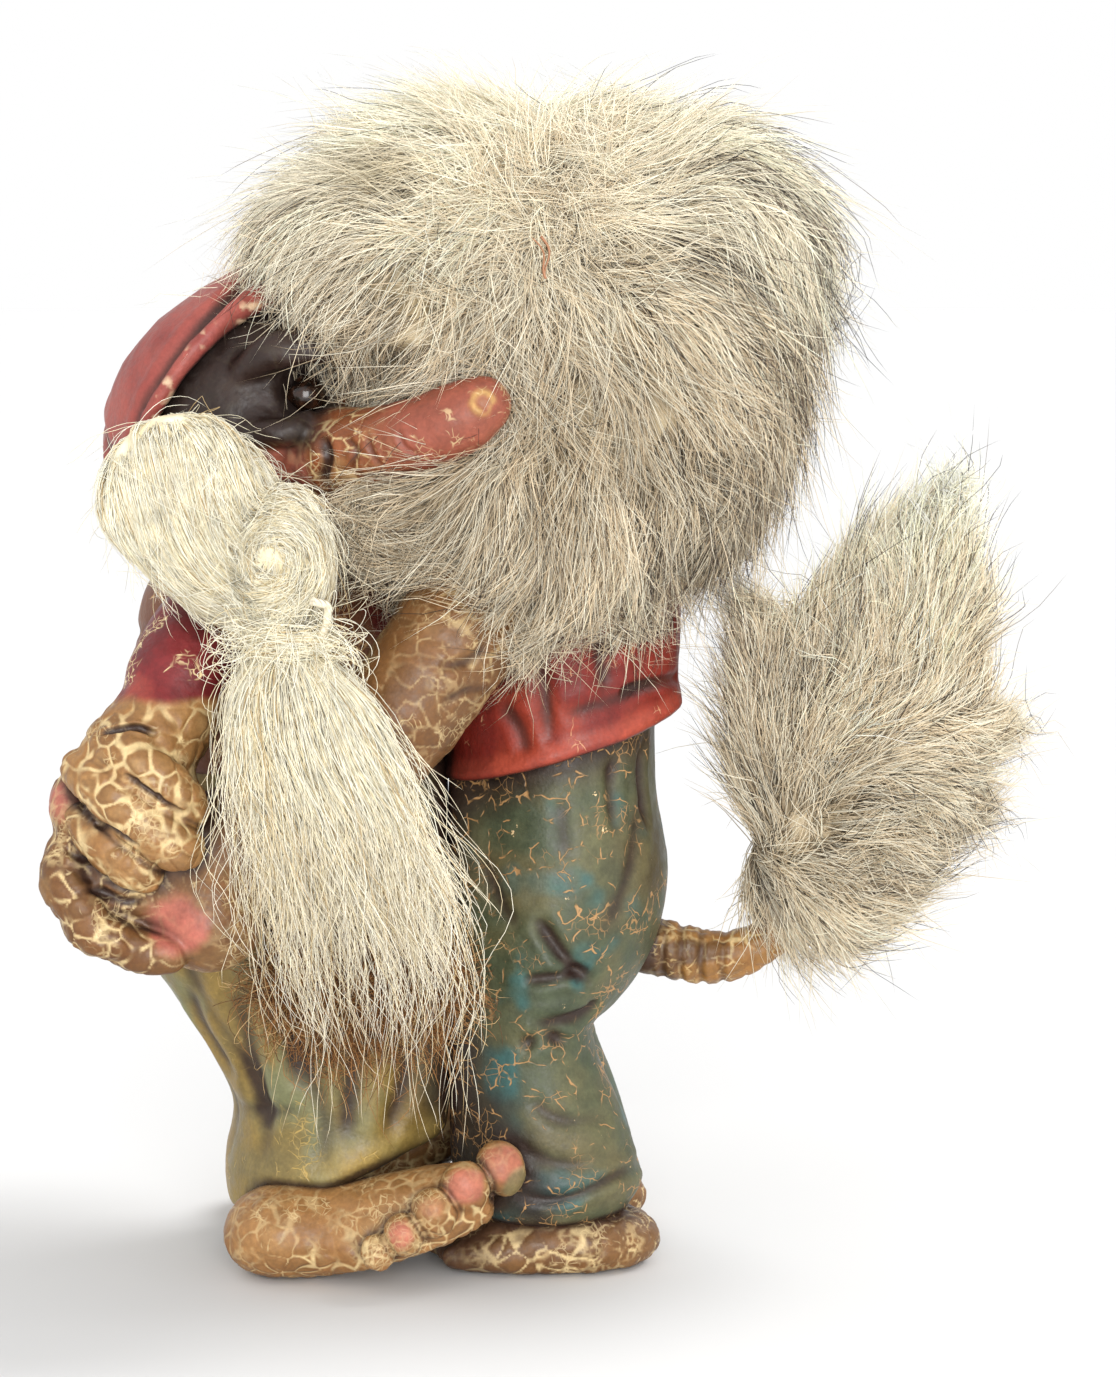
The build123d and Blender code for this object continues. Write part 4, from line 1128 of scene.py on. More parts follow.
mk = Marks()
for uvs, w, d in (([(490, 640), (470, 660), (440, 668)], 1.0, 0.6), ([(494, 690), (470, 690), (440, 704)], 1.0, 0.6), ([(60, 846), (84, 858), (112, 856), (130, 872)], 0.7, 0.8),
                  ([(70, 896), (96, 890), (124, 902), (146, 898)], 0.7, 0.7), ([(152, 865), (176, 860), (192, 838), (200, 812)], 0.8, 0.5)):
    mk.seen(t_left_arm, uvs, w, d, lip=0.15)
f, lo, hi = MOULDINGS["t_left_arm"]
HIS_BOLD = lambda p: np.clip(0.18 + 0.85 * (1 - smooth(-68, -58, p[:, 0])) + 0.25 * smooth(-22, -8, p[:, 0]), 0, 1)
sculpt("tailed_troll_left_arm_body", f, lo, hi, 1.58, 2 - LESS,
       scaly(base=srgb(166, 117, 68), size=4.9, deep=0.28, line=0.40, seed=43, heavy=HIS_BOLD, dim=0.47,
             pads=[(tuple(at(180, 925, -53)), 7.0, srgb(186, 106, 94), 0.95), (tuple(at(134, 940, -50)), 4.0, srgb(196, 118, 100), 0.8),
                   (tuple(at(210, 945, -50)), 4.0, srgb(190, 120, 92), 0.5), (tuple(at(72, 806, -46)), 5.6, srgb(206, 124, 112), 1.0)]),
       ["tailed_troll_left_arm"], M_SKIN, marks=mk)
for nm, key, cad in (("tailed_troll_right_arm_body", "t_right_arm", "tailed_troll_right_arm"), ("scarf_troll_left_arm_body", "s_left_arm", "scarf_troll_left_arm")):
    f, lo, hi = MOULDINGS[key]
    if key == "s_left_arm":
        def fin(p, n, dark, ao):
            relief, col = scaly(size=4.6, deep=0.26, line=0.46, seed=53)(p, n, dark, ao)
            t = 1 - smooth(-26, -23, p[:, 0] + 0.8 * noise(p, 4, 7))
            r2, c2 = cloth(srgb(118, 34, 36), srgb(92, 26, 28), srgb(150, 60, 50), seed=26, wave=7)(p, n, dark, ao)
            return relief * (1 - t) + r2 * t, mix(col, c2, t)
    else:
        fin = scaly(size=5.0, deep=0.28, line=0.5, seed=63)
    sculpt(nm, f, lo, hi, 1.3, 1, fin, [cad], M_SKIN)
log("arms")

# feet
for nm, key, cad, seed in (("tailed_troll_left_foot_body", "t_left_foot", "tailed_troll_left_foot", 71), ("tailed_troll_right_foot_body", "t_right_foot", "tailed_troll_right_foot", 73)):
    f, lo, hi = MOULDINGS[key]
    _tan = scaly(size=4.4, deep=0.26, line=0.42, seed=seed, base=srgb(182, 132, 78), dim=0.40)

    def foot_finish(p, n, dark, ao, _tan=_tan):
        relief, col = _tan(p, n, dark, ao)
        # painted shade: the parts of his feet under her foot and skirt, and the tops under the trouser cuffs, darker
        # and with fewer cracks
        u, v = picture(p)
        k = (1 - smooth(448, 530, u + 10 * noise(p, 5, 131))) * (p[:, 1] < 2) * 0.75 + 0.35 * smooth(6.5, 10.5, p[:, 2])
        k = np.clip(k, 0, 0.8)
        return relief, out(mix(col[:, :3], np.repeat(srgb(70, 46, 32)[None, :], len(p), 0), k), col[:, 3] * (1 - 0.8 * k))

    sculpt(nm, f, lo, hi, 0.9, 1, foot_finish, [cad], M_SKIN)
for nm, key, cad, seed, s in (("scarf_troll_right_foot_body", "s_right_foot", "scarf_troll_right_foot", 81, 1), ("scarf_troll_left_foot_body", "s_left_foot", "scarf_troll_left_foot", 83, -1)):
    f, lo, hi = MOULDINGS[key]
    pads = [((1.0, -33.5 * s, 25.5), 4.8, srgb(186, 108, 94), 0.8), ((-6.4, -37.5 * s, 22.0), 4.6, srgb(192, 116, 98), 0.9), ((-12.6, -40.0 * s, 18.4), 2.6, srgb(186, 122, 94), 0.5),
            ((-18.6, -41.5 * s, 13.4), 3.4, srgb(192, 108, 96), 0.8), ((4.4, -33.0 * s, 20.5), 4.4, srgb(124, 122, 84), 0.8)]
    sculpt(nm, f, lo, hi, 0.97 if s > 0 else 1.1, (2 if s > 0 else 1) - LESS, scaly(size=4.0, deep=0.28, line=0.44, seed=seed, pads=pads, base=srgb(190, 142, 88), dim=0.62,
                                               heavy=lambda p: np.clip(0.35 + 0.75 * (1 - smooth(11, 16, p[:, 2] - 0.36 * (p[:, 0] + 20))), 0, 1)),
           [cad], M_SKIN)
log("feet")

# skirt and bodice
mk = Marks()
for uvs, w, d, lip in (
    ([(296, 965), (292, 1020), (298, 1090)], 2.4, 1.2, 0.5), ([(235, 985), (252, 1060), (262, 1130)], 2.8, 0.8, 0.4), ([(360, 1000), (352, 1080), (345, 1150)], 2.8, 1.0, 0.4),
    ([(410, 1010), (404, 1080), (385, 1140)], 2.2, 0.9, 0.4), ([(185, 985), (205, 1030), (236, 1080)], 2.4, 0.9, 0.4), ([(236, 1102), (270, 1112), (300, 1108)], 2.0, 0.6, 0.2),
    ([(250, 1168), (300, 1178), (350, 1168), (410, 1134)], 2.2, -0.6, 0.0)):
    mk.seen(s_skirt, uvs, w, d, lip=lip)
for a in range(6):
    ang = math.radians(95 + a * 34)
    cx, cy = -40 + 34 * math.cos(ang), 27 * math.sin(ang)
    mk.add([(cx * 1.0, cy, 84), (cx - 1, cy * 1.0, 62), (-33 + 24 * math.cos(ang), 25 * math.sin(ang), 36), (-33 + 24 * math.cos(ang), 25 * math.sin(ang), 20)], 2.6, 1.0)


def skirt_extra(p, n, col, dark, ao):
    g = smooth(-0.1, 0.5, fbm(p * np.array([1, 1, 0.5], F), 9, 3, 131))
    col = mix(col, np.repeat(srgb(118, 128, 96)[None, :], len(p), 0), g * 0.75)
    h = hem_height(p, SKIRT_HEM_P, SKIRT_HEM_N)
    # painted shade where the two trolls meet at the belly
    col = mix(col, np.repeat(srgb(44, 30, 20)[None, :], len(p), 0), smooth(-11.0, -1.5, p[:, 0] - BELLY_X) * 0.9)
    return mix(col, np.repeat(srgb(176, 150, 78)[None, :], len(p), 0), (1 - smooth(1.0, 8.0, h)) * 0.35)


f, lo, hi = MOULDINGS["s_skirt"]
sculpt("scarf_troll_skirt_body", f, lo, hi, 1.25, 1, cloth(srgb(146, 120, 60), srgb(126, 110, 66), srgb(156, 124, 64), seed=35, extra=skirt_extra, crack=0.8, grain=0.10, wave=10),
       ["scarf_troll_skirt"], M_SKIRT, marks=mk)
mk = Marks()
for z, dd in ((108, 1.0), (117, 1.2), (127, 1.0)):
    mk.add([(-72, -10, z), (-73, 0, z - 1.5), (-71, 12, z + 1)], 1.6, dd)
f, lo, hi = MOULDINGS["s_bodice"]
sculpt("scarf_troll_bodice_body", f, lo, hi, 1.3, 1, cloth(srgb(112, 66, 44), srgb(128, 84, 56), srgb(110, 44, 38), seed=45, wave=6),
       ["scarf_troll_bodice"], M_BODICE, marks=mk)
log("skirt and bodice")

# heads
mk = Marks()
for uvs, w, d, lip in (
    ([(322, 436), (326, 460), (322, 488)], 1.3, 1.4, 0.2), ([(335, 498), (362, 512), (402, 506)], 0.9, 1.2, 0.2), ([(345, 470), (380, 478), (420, 470)], 1.0, 0.5, 0.0),
    ([(262, 462), (276, 480), (300, 488)], 0.8, 0.5, 0.1), ([(345, 436), (356, 450), (350, 470)], 0.6, 0.5, 0.2), ([(366, 432), (372, 452), (384, 470)], 0.6, 0.5, 0.2),
    ([(398, 428), (404, 446), (420, 456)], 0.6, 0.4, 0.2)):
    mk.seen(s_head, uvs, w, d, lip=lip)
wart = hit(s_head, [(483, 402)])[0]
mk.add([wart + np.array([1.9 * math.cos(a), -0.4, 1.9 * math.sin(a)]) for a in np.linspace(0, 2 * math.pi, 9)], 0.5, -0.7, taper=False)
for z in (186, 189.5, 193):
    mk.add([(-38, -29, z - 3), (-30, -26, z - 1), (-24, -18, z - 2)], 0.9, 0.7, lip=0.2)
f, lo, hi = MOULDINGS["s_head"]
_whole_head = f
f = lambda p: smax(_whole_head(p), scarf_flat(p) + 2.0, 3.0)


def her_face(p, n, dark, ao):
    nose_tip = (1 - smooth(14, 26, length(p - np.array((-2, -47, 173), F)))) * 0.95
    pads = [(tuple(at(285, 472, -34)), 7.0, srgb(190, 110, 94), 0.9), ((-23, -10, 162), 6.5, srgb(190, 110, 94), 0.8)]
    relief, col = scaly(base=srgb(162, 95, 55), size=4.2, deep=0.20, line=0.34, seed=93, dim=0.7, pads=pads, plain=0.45,
                        heavy=lambda q: np.clip(0.75 - smooth(12, 30, length(q - np.array((-28, -33, 163), F))) * 0.4 - nose_tip * 0.7, 0, 1))(p, n, dark, ao)
    c = col[:, :3]
    c = mix(c, np.repeat(srgb(144, 75, 59)[None, :], len(p), 0) * (0.85 + 0.3 * np.clip(0.5 + fbm(p, 4, 3, 321), 0, 1))[:, None], nose_tip * 0.9)
    mouth = (1 - smooth(3.0, 6.5, length((p - np.array((-27, -32, 150.5), F)) * np.array([0.55, 1, 1], F))))
    c = mix(c, np.repeat(srgb(120, 48, 40)[None, :], len(p), 0), mouth * 0.8)
    for e in S_EYES:
        d = length(p - np.array(e, F))
        c = mix(c, np.repeat(srgb(34, 24, 20)[None, :], len(p), 0), (1 - smooth(4.5, 9.0, d)) * 0.9)
    d = length(p - wart)
    ring = np.exp(-((d - 1.9) / 0.7) ** 2)
    c = mix(c, np.repeat(srgb(214, 176, 104)[None, :], len(p), 0), ring * 0.6 * smooth(-0.5, 0.1, noise(p, 1.6, 331)))
    c = mix(c, np.repeat(srgb(150, 100, 60)[None, :], len(p), 0), (1 - smooth(0.3, 1.3, d)) * 0.6)
    # painted shadow of the headscarf over the face, with no cracks showing in it
    u, v = picture(p)
    hollow = (1 - smooth(314, 350, u + 0.35 * (v - 400))) * (1 - smooth(438, 462, v)) * (1 - smooth(-10, 0, p[:, 1]))
    c = mix(c, np.repeat(srgb(34, 24, 21)[None, :], len(p), 0) * (0.7 + 0.6 * np.clip(0.5 + noise(p, 5, 311), 0, 1))[:, None], hollow * 0.96)
    alpha = col[:, 3] * (1 - hollow)
    return relief, out(c, alpha)


sculpt("scarf_troll_head_body", f, lo, hi, 1.72, 2 - LESS, her_face, ["scarf_troll_head"], M_SKIN, marks=mk)

mk = Marks()
mk.add([t_place(-10, 25.5, 157.4), t_place(-4, 29.5, 155.6), t_place(4, 29.5, 155.6), t_place(10, 25.5, 157.4)], 0.9, 1.1)
for s in (-1, 1):
    mk.add([t_place(s * 5, 29, 166), t_place(s * 11, 27, 162), t_place(s * 13.5, 23, 157)], 1.2, 0.9, lip=0.2)
    mk.add([t_place(s * 15, 22.5, 178), t_place(s * 19, 19, 176), t_place(s * 21, 16, 173)], 0.8, 0.6, lip=0.15)
for z in (193, 197, 201):
    mk.add([t_place(-12, 23, z - 1), t_place(0, 26, z), t_place(12, 23, z - 1)], 0.9, 0.7, lip=0.2)
f, lo, hi = MOULDINGS["t_head"]


def his_face(p, n, dark, ao):
    tip = (1 - smooth(7, 15, length(p - np.array((-31, 51, 166.5), F))))
    pads = [(t_place(-14, 27, 169), 7.0, srgb(192, 112, 96), 0.8), (t_place(14, 27, 169), 7.0, srgb(192, 112, 96), 0.8)]
    relief, col = scaly(base=srgb(176, 122, 76), size=4.8, deep=0.2, line=0.4, seed=103, pads=pads, plain=0.35)(p, n, dark, ao)
    c = mix(col[:, :3], np.repeat(srgb(198, 108, 94)[None, :], len(p), 0), tip * 0.8)
    for e in T_EYES:
        c = mix(c, np.repeat(srgb(54, 36, 28)[None, :], len(p), 0), (1 - smooth(4.0, 7.5, length(p - np.array(e, F)))) * 0.8)
    mouth = np.zeros(len(p), F)
    for a in (-8, -3, 3, 8):
        mouth = np.maximum(mouth, 1 - smooth(1.6, 3.2, length(p - np.array(t_place(a, 28.6 - abs(a) * 0.35, 156.0), F))))
    return relief, out(mix(c, np.repeat(srgb(130, 56, 46)[None, :], len(p), 0), mouth * 0.7), col[:, 3])


sculpt("tailed_troll_head_body", f, lo, hi, 1.5, 1, his_face, ["tailed_troll_head"], M_SKIN, marks=mk)

# headscarf
mk = Marks()
for uvs, w, d, lip in (([(262, 276), (214, 310), (168, 362), (140, 410)], 1.6, 0.9, 0.5), ([(288, 268), (240, 290), (192, 340)], 1.3, 0.6, 0.3), ([(118, 440), (112, 500), (118, 560)], 1.6, 0.8, 0.4),
                       ([(150, 385), (130, 440), (126, 500)], 1.4, 0.7, 0.3)):
    mk.seen(s_scarf, uvs, w, d, lip=lip)
for a, z in ((100, 188), (140, 180), (175, 170), (210, 160), (150, 152)):
    r = math.radians(a)
    mk.add([(-48.5 + 27 * math.cos(r), -5 + 29 * math.sin(r), z), (-48.5 + 29 * math.cos(r + 0.5), -5 + 31 * math.sin(r + 0.5), z - 7), (-48.5 + 28 * math.cos(r + 0.9), -5 + 30 * math.sin(r + 0.9), z - 17)], 1.8, 0.8, lip=0.3)


def scarf_finish(p, n, dark, ao):
    relief, col = cloth(srgb(160, 80, 70), srgb(138, 60, 54), srgb(174, 98, 86), seed=55, crack=0.9, wave=10)(p, n, dark, ao)
    c = col[:, :3]
    h = (p - SCARF_P.astype(F)) @ _sn
    # painted shade on the inner side of the headscarf, round the head
    inside = 1 - smooth(0.0, 1.5, egg(S_HEAD, tuple(r + 0.2 for r in S_HEAD_R))(p) - 0.3)
    c = mix(c, np.repeat(srgb(40, 22, 20)[None, :], len(p), 0), inside * smooth(-8, -1, h))
    rim = np.exp(-((h + 0.6) / 1.3) ** 2) * smooth(0.12, 0.34, noise(p, 1.5, 301)) * smooth(-0.1, 0.3, noise(p, 4.5, 302)) * smooth(160, 170, p[:, 2])
    return relief, out(mix(c, np.repeat(srgb(236, 206, 168)[None, :], len(p), 0), rim * 0.8), col[:, 3])


f, lo, hi = MOULDINGS["s_scarf"]
sculpt("scarf_troll_headscarf_shell", f, lo, hi, 1.05, 1, scarf_finish, ["scarf_troll_headscarf"], M_SCARF, marks=mk)


# tail
def tail_finish(p, n, dark, ao):
    relief, col = scaly(base=srgb(186, 138, 78), size=4.6, deep=0.28, line=0.36, seed=113, dim=0.66)(p, n, dark, ao)
    c = col[:, :3]
    spots = smooth(0.15, 0.5, noise(p, 5.5, 404)) * (1 - smooth(38, 54, p[:, 0]))
    c = mix(c, np.repeat(srgb(70, 46, 30)[None, :], len(p), 0), spots * 0.75)
    # painted shadow at the root, where the tail goes into its socket
    ring = 1 - smooth(29.6, 32.2, p[:, 0])
    c = mix(c, np.repeat(srgb(62, 42, 30)[None, :], len(p), 0), ring * 0.85)
    return relief * smooth(29, 31, p[:, 0]), out(c, col[:, 3])


f, lo, hi = MOULDINGS["tail"]
mk = Marks()
for x in (33.2, 36.8, 41.0, 45.4):
    mk.add([(x + 6 * 0.12 * math.cos(a), 2 + 5.6 * math.cos(a), 59.6 - max(0, (x - 36) * 0.1) + 5.6 * math.sin(a)) for a in np.linspace(0, 2 * math.pi, 11)], 0.7, 0.5, taper=False, lip=0.15)
sculpt("tail_body", f, lo, hi, 0.7, 1, tail_finish, ["tail"], M_TAIL, body="tail", marks=mk)
log("heads, headscarf, tail")



# ---- fur and hair: closed tapering strands over a closed undercoat ------------------------------------

def hair_material(name, rough=0.55, tint=None):
    m, nt, bsdf = nodes_for(name)
    att = node(nt, "Attribute", attribute_name="paint")
    raw, _ = coords(nt)
    nz = node(nt, "TexNoise", {"Vector": raw, "Scale": 1 / 0.0032, "Detail": 3.0})
    col = mixed(nt, 1.0, att.outputs["Color"], ramp(nt, nz.outputs["Fac"], (0.3, (0.84,) * 3), (0.7, (1.10,) * 3)), "MULTIPLY")
    nt.links.new(col, bsdf.inputs["Base Color"])
    nt.links.new(band(nt, nz.outputs["Fac"], 0.3, 0.7, rough - 0.08, rough + 0.12), bsdf.inputs["Roughness"])
    bsdf.inputs["Specular IOR Level"].default_value = 0.35
    return m


M_FUR = hair_material("grey_fur_hair", 0.55)
M_CREAM = hair_material("cream_hair", 0.48)
M_WOOL = hair_material("brown_wool", 0.7)

rng = np.random.default_rng(20)
TRIANGLES = 0


def strand_mesh(name, P, R, C, body, material, stands_for=(), most=195000):
    """P (N, S+1, 3) lines, the last point the tip. R (N, S) radii. C (N, S+1, 3) colours. Split into pieces of a fair size."""
    global TRIANGLES
    N, S = len(P), P.shape[1] - 1
    per = (S - 1) * 6 + 4
    cap = most // per
    T = np.gradient(P, axis=1)
    T /= np.maximum(np.linalg.norm(T, axis=2, keepdims=True), 1e-6)
    ref = rng.normal(size=(N, 1, 3))
    A = np.cross(T, np.broadcast_to(ref, T.shape))
    A /= np.maximum(np.linalg.norm(A, axis=2, keepdims=True), 1e-6)
    B = np.cross(T, A)
    one = []
    for s in range(S - 1):
        for k in range(3):
            a, b = s * 3 + k, s * 3 + (k + 1) % 3
            one += [(a, b, b + 3), (a, b + 3, a + 3)]
    for k in range(3):
        one.append(((S - 1) * 3 + k, (S - 1) * 3 + (k + 1) % 3, S * 3))
    one.append((2, 1, 0))
    one = np.array(one)
    made = []
    pieces = max(1, -(-N // cap))
    size = -(-N // pieces)
    for j in range(pieces):
        sl = slice(j * size, min((j + 1) * size, N))
        n = sl.stop - sl.start
        V = np.empty((n, S * 3 + 1, 3), F)
        K = np.empty((n, S * 3 + 1, 4), F)
        K[:, :, 3] = 1
        for k in range(3):
            ang = 2 * math.pi * k / 3
            ringp = P[sl, :S] + R[sl, :, None] * (math.cos(ang) * A[sl, :S] + math.sin(ang) * B[sl, :S])
            V[:, k:S * 3:3] = ringp
            K[:, k:S * 3:3, :3] = C[sl, :S]
        V[:, -1] = P[sl, S]
        K[:, -1, :3] = C[sl, S]
        tris = (one[None] + (np.arange(n) * (S * 3 + 1))[:, None, None]).reshape(-1, 3)
        TRIANGLES += len(tris)
        made.append(mesh_object(name if pieces == 1 else f"{name}_{j + 1}", V.reshape(-1, 3), None, np.clip(K.reshape(-1, 4), 0, 1), body, material,
                                stands_for if j == 0 else (), tris=tris))
    return made


def within(P):
    """Keeps the longest hairs near the outline of the fur."""
    for k, hi_ in ((0, 112.0), (2, 234.0)):
        over = P[:, :, k] > hi_
        P[:, :, k][over] = hi_ + 5.5 * np.tanh((P[:, :, k][over] - hi_) / 5.5)


def unit(v):
    return v / np.maximum(np.linalg.norm(v, axis=-1, keepdims=True), 1e-6)


def comb(controls, base, sigma=15.0, near_only=True):
    """A direction for every point: base(p) pulled towards the strokes seen in the picture. controls are ((u, v), (du, dv)) with y depth."""
    spots = np.array([at(u, v, -30)[[0, 2]] for (u, v), _ in controls], F)
    dirs = unit(np.array([(du, 0, -dv) for _, (du, dv) in controls], F))

    def f(p):
        w = np.exp(-((p[:, None, 0] - spots[None, :, 0]) ** 2 + (p[:, None, 2] - spots[None, :, 1]) ** 2) / (2 * sigma ** 2))
        v = (w[:, :, None] * dirs[None]).sum(1)
        s = w.sum(1)[:, None]
        v = v / np.maximum(s, 1e-6)
        if near_only:
            k = np.clip(s * 2.0, 0, 1) * (1 - smooth(4, 22, p[:, 1]))[:, None]
        else:
            k = np.clip(s * 2.0, 0, 1)
        return unit(v) * k * 1.6 + unit(base(p)) * (1 - 0.85 * k)
    return f


def guides(f, roots, n, flow, long, rise, steps, wander=0.25, keep_off=0.35, sag=0.0, drop=None):
    """Lines that leave the surface f and lie along the flow, rising slowly."""
    K = len(roots)
    P = np.empty((K, steps + 1, 3), F)
    p, P[:, 0] = roots.copy(), roots
    dev = rng.normal(size=(K, 3)).astype(F) * (wander if np.ndim(wander) == 0 else wander[:, None])
    step = (long / steps)[:, None].astype(F)
    for s in range(1, steps + 1):
        t = s / steps
        g = unit(gradient(f, p, 0.5))
        v = flow(p) + dev
        v = v - g * np.einsum("ij,ij->i", v, g)[:, None]
        v = unit(v)
        d = f(p)
        want = rise * (t ** 0.8)
        up = np.clip((want - d) / step[:, 0], -0.7, 1.1)
        v = v + g * up[:, None]
        v[:, 2] -= sag * t
        p = p + unit(v) * step
        w = world(p)
        close = w < keep_off
        if close.any():
            q = p[close]
            e = 1.0
            gg = np.column_stack([world(q + np.array([e, 0, 0], F)) - world(q - np.array([e, 0, 0], F)),
                                  world(q + np.array([0, e, 0], F)) - world(q - np.array([0, e, 0], F)),
                                  world(q + np.array([0, 0, e], F)) - world(q - np.array([0, 0, e], F))])
            p[close] = q + unit(gg) * np.minimum(keep_off - w[close], 4.0)[:, None]
        P[:, s] = p
    return P


def brood(G, n, count, spread, rings, pinch=0.65, stray=1.6, length_range=(0.55, 1.15), curl=0.0, high=1.2, tight=0.35):
    """Strands round each guide: they start apart and draw together towards its tip, with their own length and bend."""
    K, S1, _ = G.shape
    steps = S1 - 1
    who = np.repeat(np.arange(K), count)
    N = len(who)
    off = rng.normal(size=(N, 3)).astype(F)
    nn = n[who]
    off -= nn * np.einsum("ij,ij->i", off, nn)[:, None]
    off *= spread
    lift = (rng.random(N).astype(F) - 0.35) * high
    long = rng.uniform(length_range[0], length_range[1], N).astype(F)
    bend = rng.normal(size=(N, 3)).astype(F) * stray
    wild = rng.random(N) < tight
    bend[wild] *= 2.2
    P = np.empty((N, rings + 1, 3), F)
    ph = rng.random(N).astype(F) * 6.28
    side = unit(rng.normal(size=(N, 3)).astype(F))
    for s in range(rings + 1):
        t = s / rings
        x = np.minimum(t * long * steps, steps * 1.25)
        i = np.minimum(x.astype(int), steps - 1)
        fr = (x - i)[:, None]
        q = G[who, i] + (G[who, i + 1] - G[who, i]) * fr
        q = q + off * (1 - pinch * t) + nn * (lift * t)[:, None] + bend * (t ** 1.7)
        if curl:
            q = q + side * (np.sin(ph + t * 7.0) * curl * t)[:, None]
        P[:, s] = q
    P[:, 0] -= nn * 0.5
    return P, who, long


GREY = {"cream": srgb(255, 247, 224), "beige": srgb(250, 232, 200), "taupe": srgb(222, 200, 166), "dark": srgb(104, 88, 74), "black": srgb(48, 41, 38)}


def fur_colours(P, rings, top=None, dark_share=0.10, grey=None):
    """Pale tips, roots darkened as painted shade, and a share of dark guard hairs. top from 0 to 1 makes the fur
    creamier; grey from 0 to 1 darkens it towards taupe.
    """
    N = len(P)
    r = rng.random(N)
    patch = 0.5 + 0.5 * np.clip(fbm(P[:, 0], 13, 2, 700) * 1.6, -1, 1)
    top = np.zeros(N, F) if top is None else top
    base = np.where((r < 0.40 + 0.3 * top)[:, None], GREY["cream"], np.where((r < 0.74 + 0.16 * top)[:, None], GREY["beige"], GREY["taupe"]))
    base = mix(base, np.repeat(GREY["cream"][None], N, 0), 0.55 * top)
    if grey is not None:
        base = mix(base, np.repeat(GREY["taupe"][None] * 0.46, N, 0), grey * rng.uniform(0.2, 1.0, N))
    base = base * (0.84 + 0.18 * patch + 0.05 * rng.normal(size=N))[:, None]
    guard = rng.random(N) < dark_share * (1 - 0.75 * top)
    tone = np.where((rng.random(N) < 0.5)[:, None], GREY["dark"], GREY["black"])
    C = np.empty((N, rings + 1, 3), F)
    for s in range(rings + 1):
        t = s / rings
        # painted shade at the roots
        root_shade_factor = 0.74 + 0.26 * smooth(0.0, 0.42, np.full(1, t))[0]
        c = base * (root_shade_factor + 0.08 * t)
        c = mix(c, np.repeat(GREY["taupe"][None] * 0.62, N, 0), (1 - t) ** 2 * 0.32 * (1 - 0.8 * top))
        g = tone if t > 0.35 else mix(base, tone, t / 0.35)
        C[:, s] = np.where(guard[:, None], g, c)
    return C, guard


def pick(p, n, quads, count, where=None):
    idx = rng.permutation(len(p))
    if where is not None:
        idx = idx[rng.random(len(idx)) < where(p[idx])]
    idx = idx[:count]
    return p[idx].astype(F), n[idx].astype(F)


def undercoat(base, tip, top=None, seed=900, deep=0.8, length_dir=(1, 1, 0.3)):
    def finish(p, n, dark, ao):
        a = fbm(p * np.array(length_dir, F), 2.4, 3, seed)
        col = mix(np.repeat(base[None], len(p), 0), np.repeat(tip[None], len(p), 0), smooth(-0.3, 0.6, a))
        if top is not None:
            col = mix(col, np.repeat(GREY["cream"][None] * 0.62, len(p), 0), top(p) * 0.8)
        # painted shade where the undercoat is sheltered
        col = mix(col, col * 0.35, np.clip((0.6 - ao) * 1.2, 0, 1))
        return (deep * a).astype(F), out(col, 1.0)
    return finish


FEWER = 1.0

# -- the tailed troll's hair
FACE_P, FACE_N = (-4.0, 22.0, 170.0), (-0.62, 0.62, -0.48)
hair_whole = join(7.0, egg((15, 0, 209), (25, 34, 21.5)), egg((12, 2, 189), (57, 47, 41.5)), egg((32, 2, 170), (38, 42, 36), (0, 12, 0)), egg((12, -14, 153), (29, 31, 28)), egg((-21, -11, 199), (28, 32, 23)), egg((-4, -24, 172), (18, 22, 14)), egg((-8, -24, 142), (13, 12, 13)),
                 egg((43, 1, 206), (26, 36, 23)), egg((-12, -2, 208), (27, 36, 23)), egg((-13, -36, 158), (17, 14, 19), (0, 30, 0)), egg((4, -36, 146), (17, 13, 20)),
                 egg(tuple(at(395, 318, -36)), (17, 12, 11), (0, 25, 0)))
SIDE_Z = [130, 136, 143.7, 152, 163, 171, 179, 187, 195, 203, 211, 219, 227, 235]
SIDE_S = [0.62, 0.62, 0.66, 0.69, 0.74, 0.79, 0.84, 0.90, 0.90, 0.92, 0.86, 0.78, 0.70, 0.66]


def hair_mass(p):
    """The whole mass, drawn in towards its middle on the tail's side."""
    q = p.astype(F).copy()
    side = np.interp(q[:, 2], SIDE_Z, SIDE_S).astype(F)
    over = np.maximum(q[:, 0] - 27, 0)
    q[:, 0] = np.minimum(q[:, 0], 27) + over / side
    return hair_whole(q) * np.where(over > 0, 0.5 + 0.5 * side, 1.0).astype(F)


DIPS = Marks()
for (u, v), w_, d_ in (((372, 182), 8.0, 5.0), ((345, 285), 6.0, 3.0), ((590, 250), 9.0, 3.0), ((640, 470), 8.0, 3.0), ((740, 470), 8.0, 4.0), ((560, 540), 7.0, 3.0)):
    DIPS.add(hit(hair_mass, [(u, v)]), w_, d_)
DIP_AT = [hit(hair_mass, [q_])[0] for q_ in ((372, 182), (345, 285), (600, 260), (640, 470), (740, 470))]


HAIR_PITS = [(DIP_AT[0], (10, 9, 5.5), (0, 25, 0)), (DIP_AT[1], (8, 7, 5), (0, 50, 0)), (DIP_AT[2], (9, 7, 5), (0, -20, 0)), (DIP_AT[4], (12, 8, 5.5), (0, 20, 0)), (hit(hair_mass, [(560, 520)])[0], (4, 7, 12), None)]


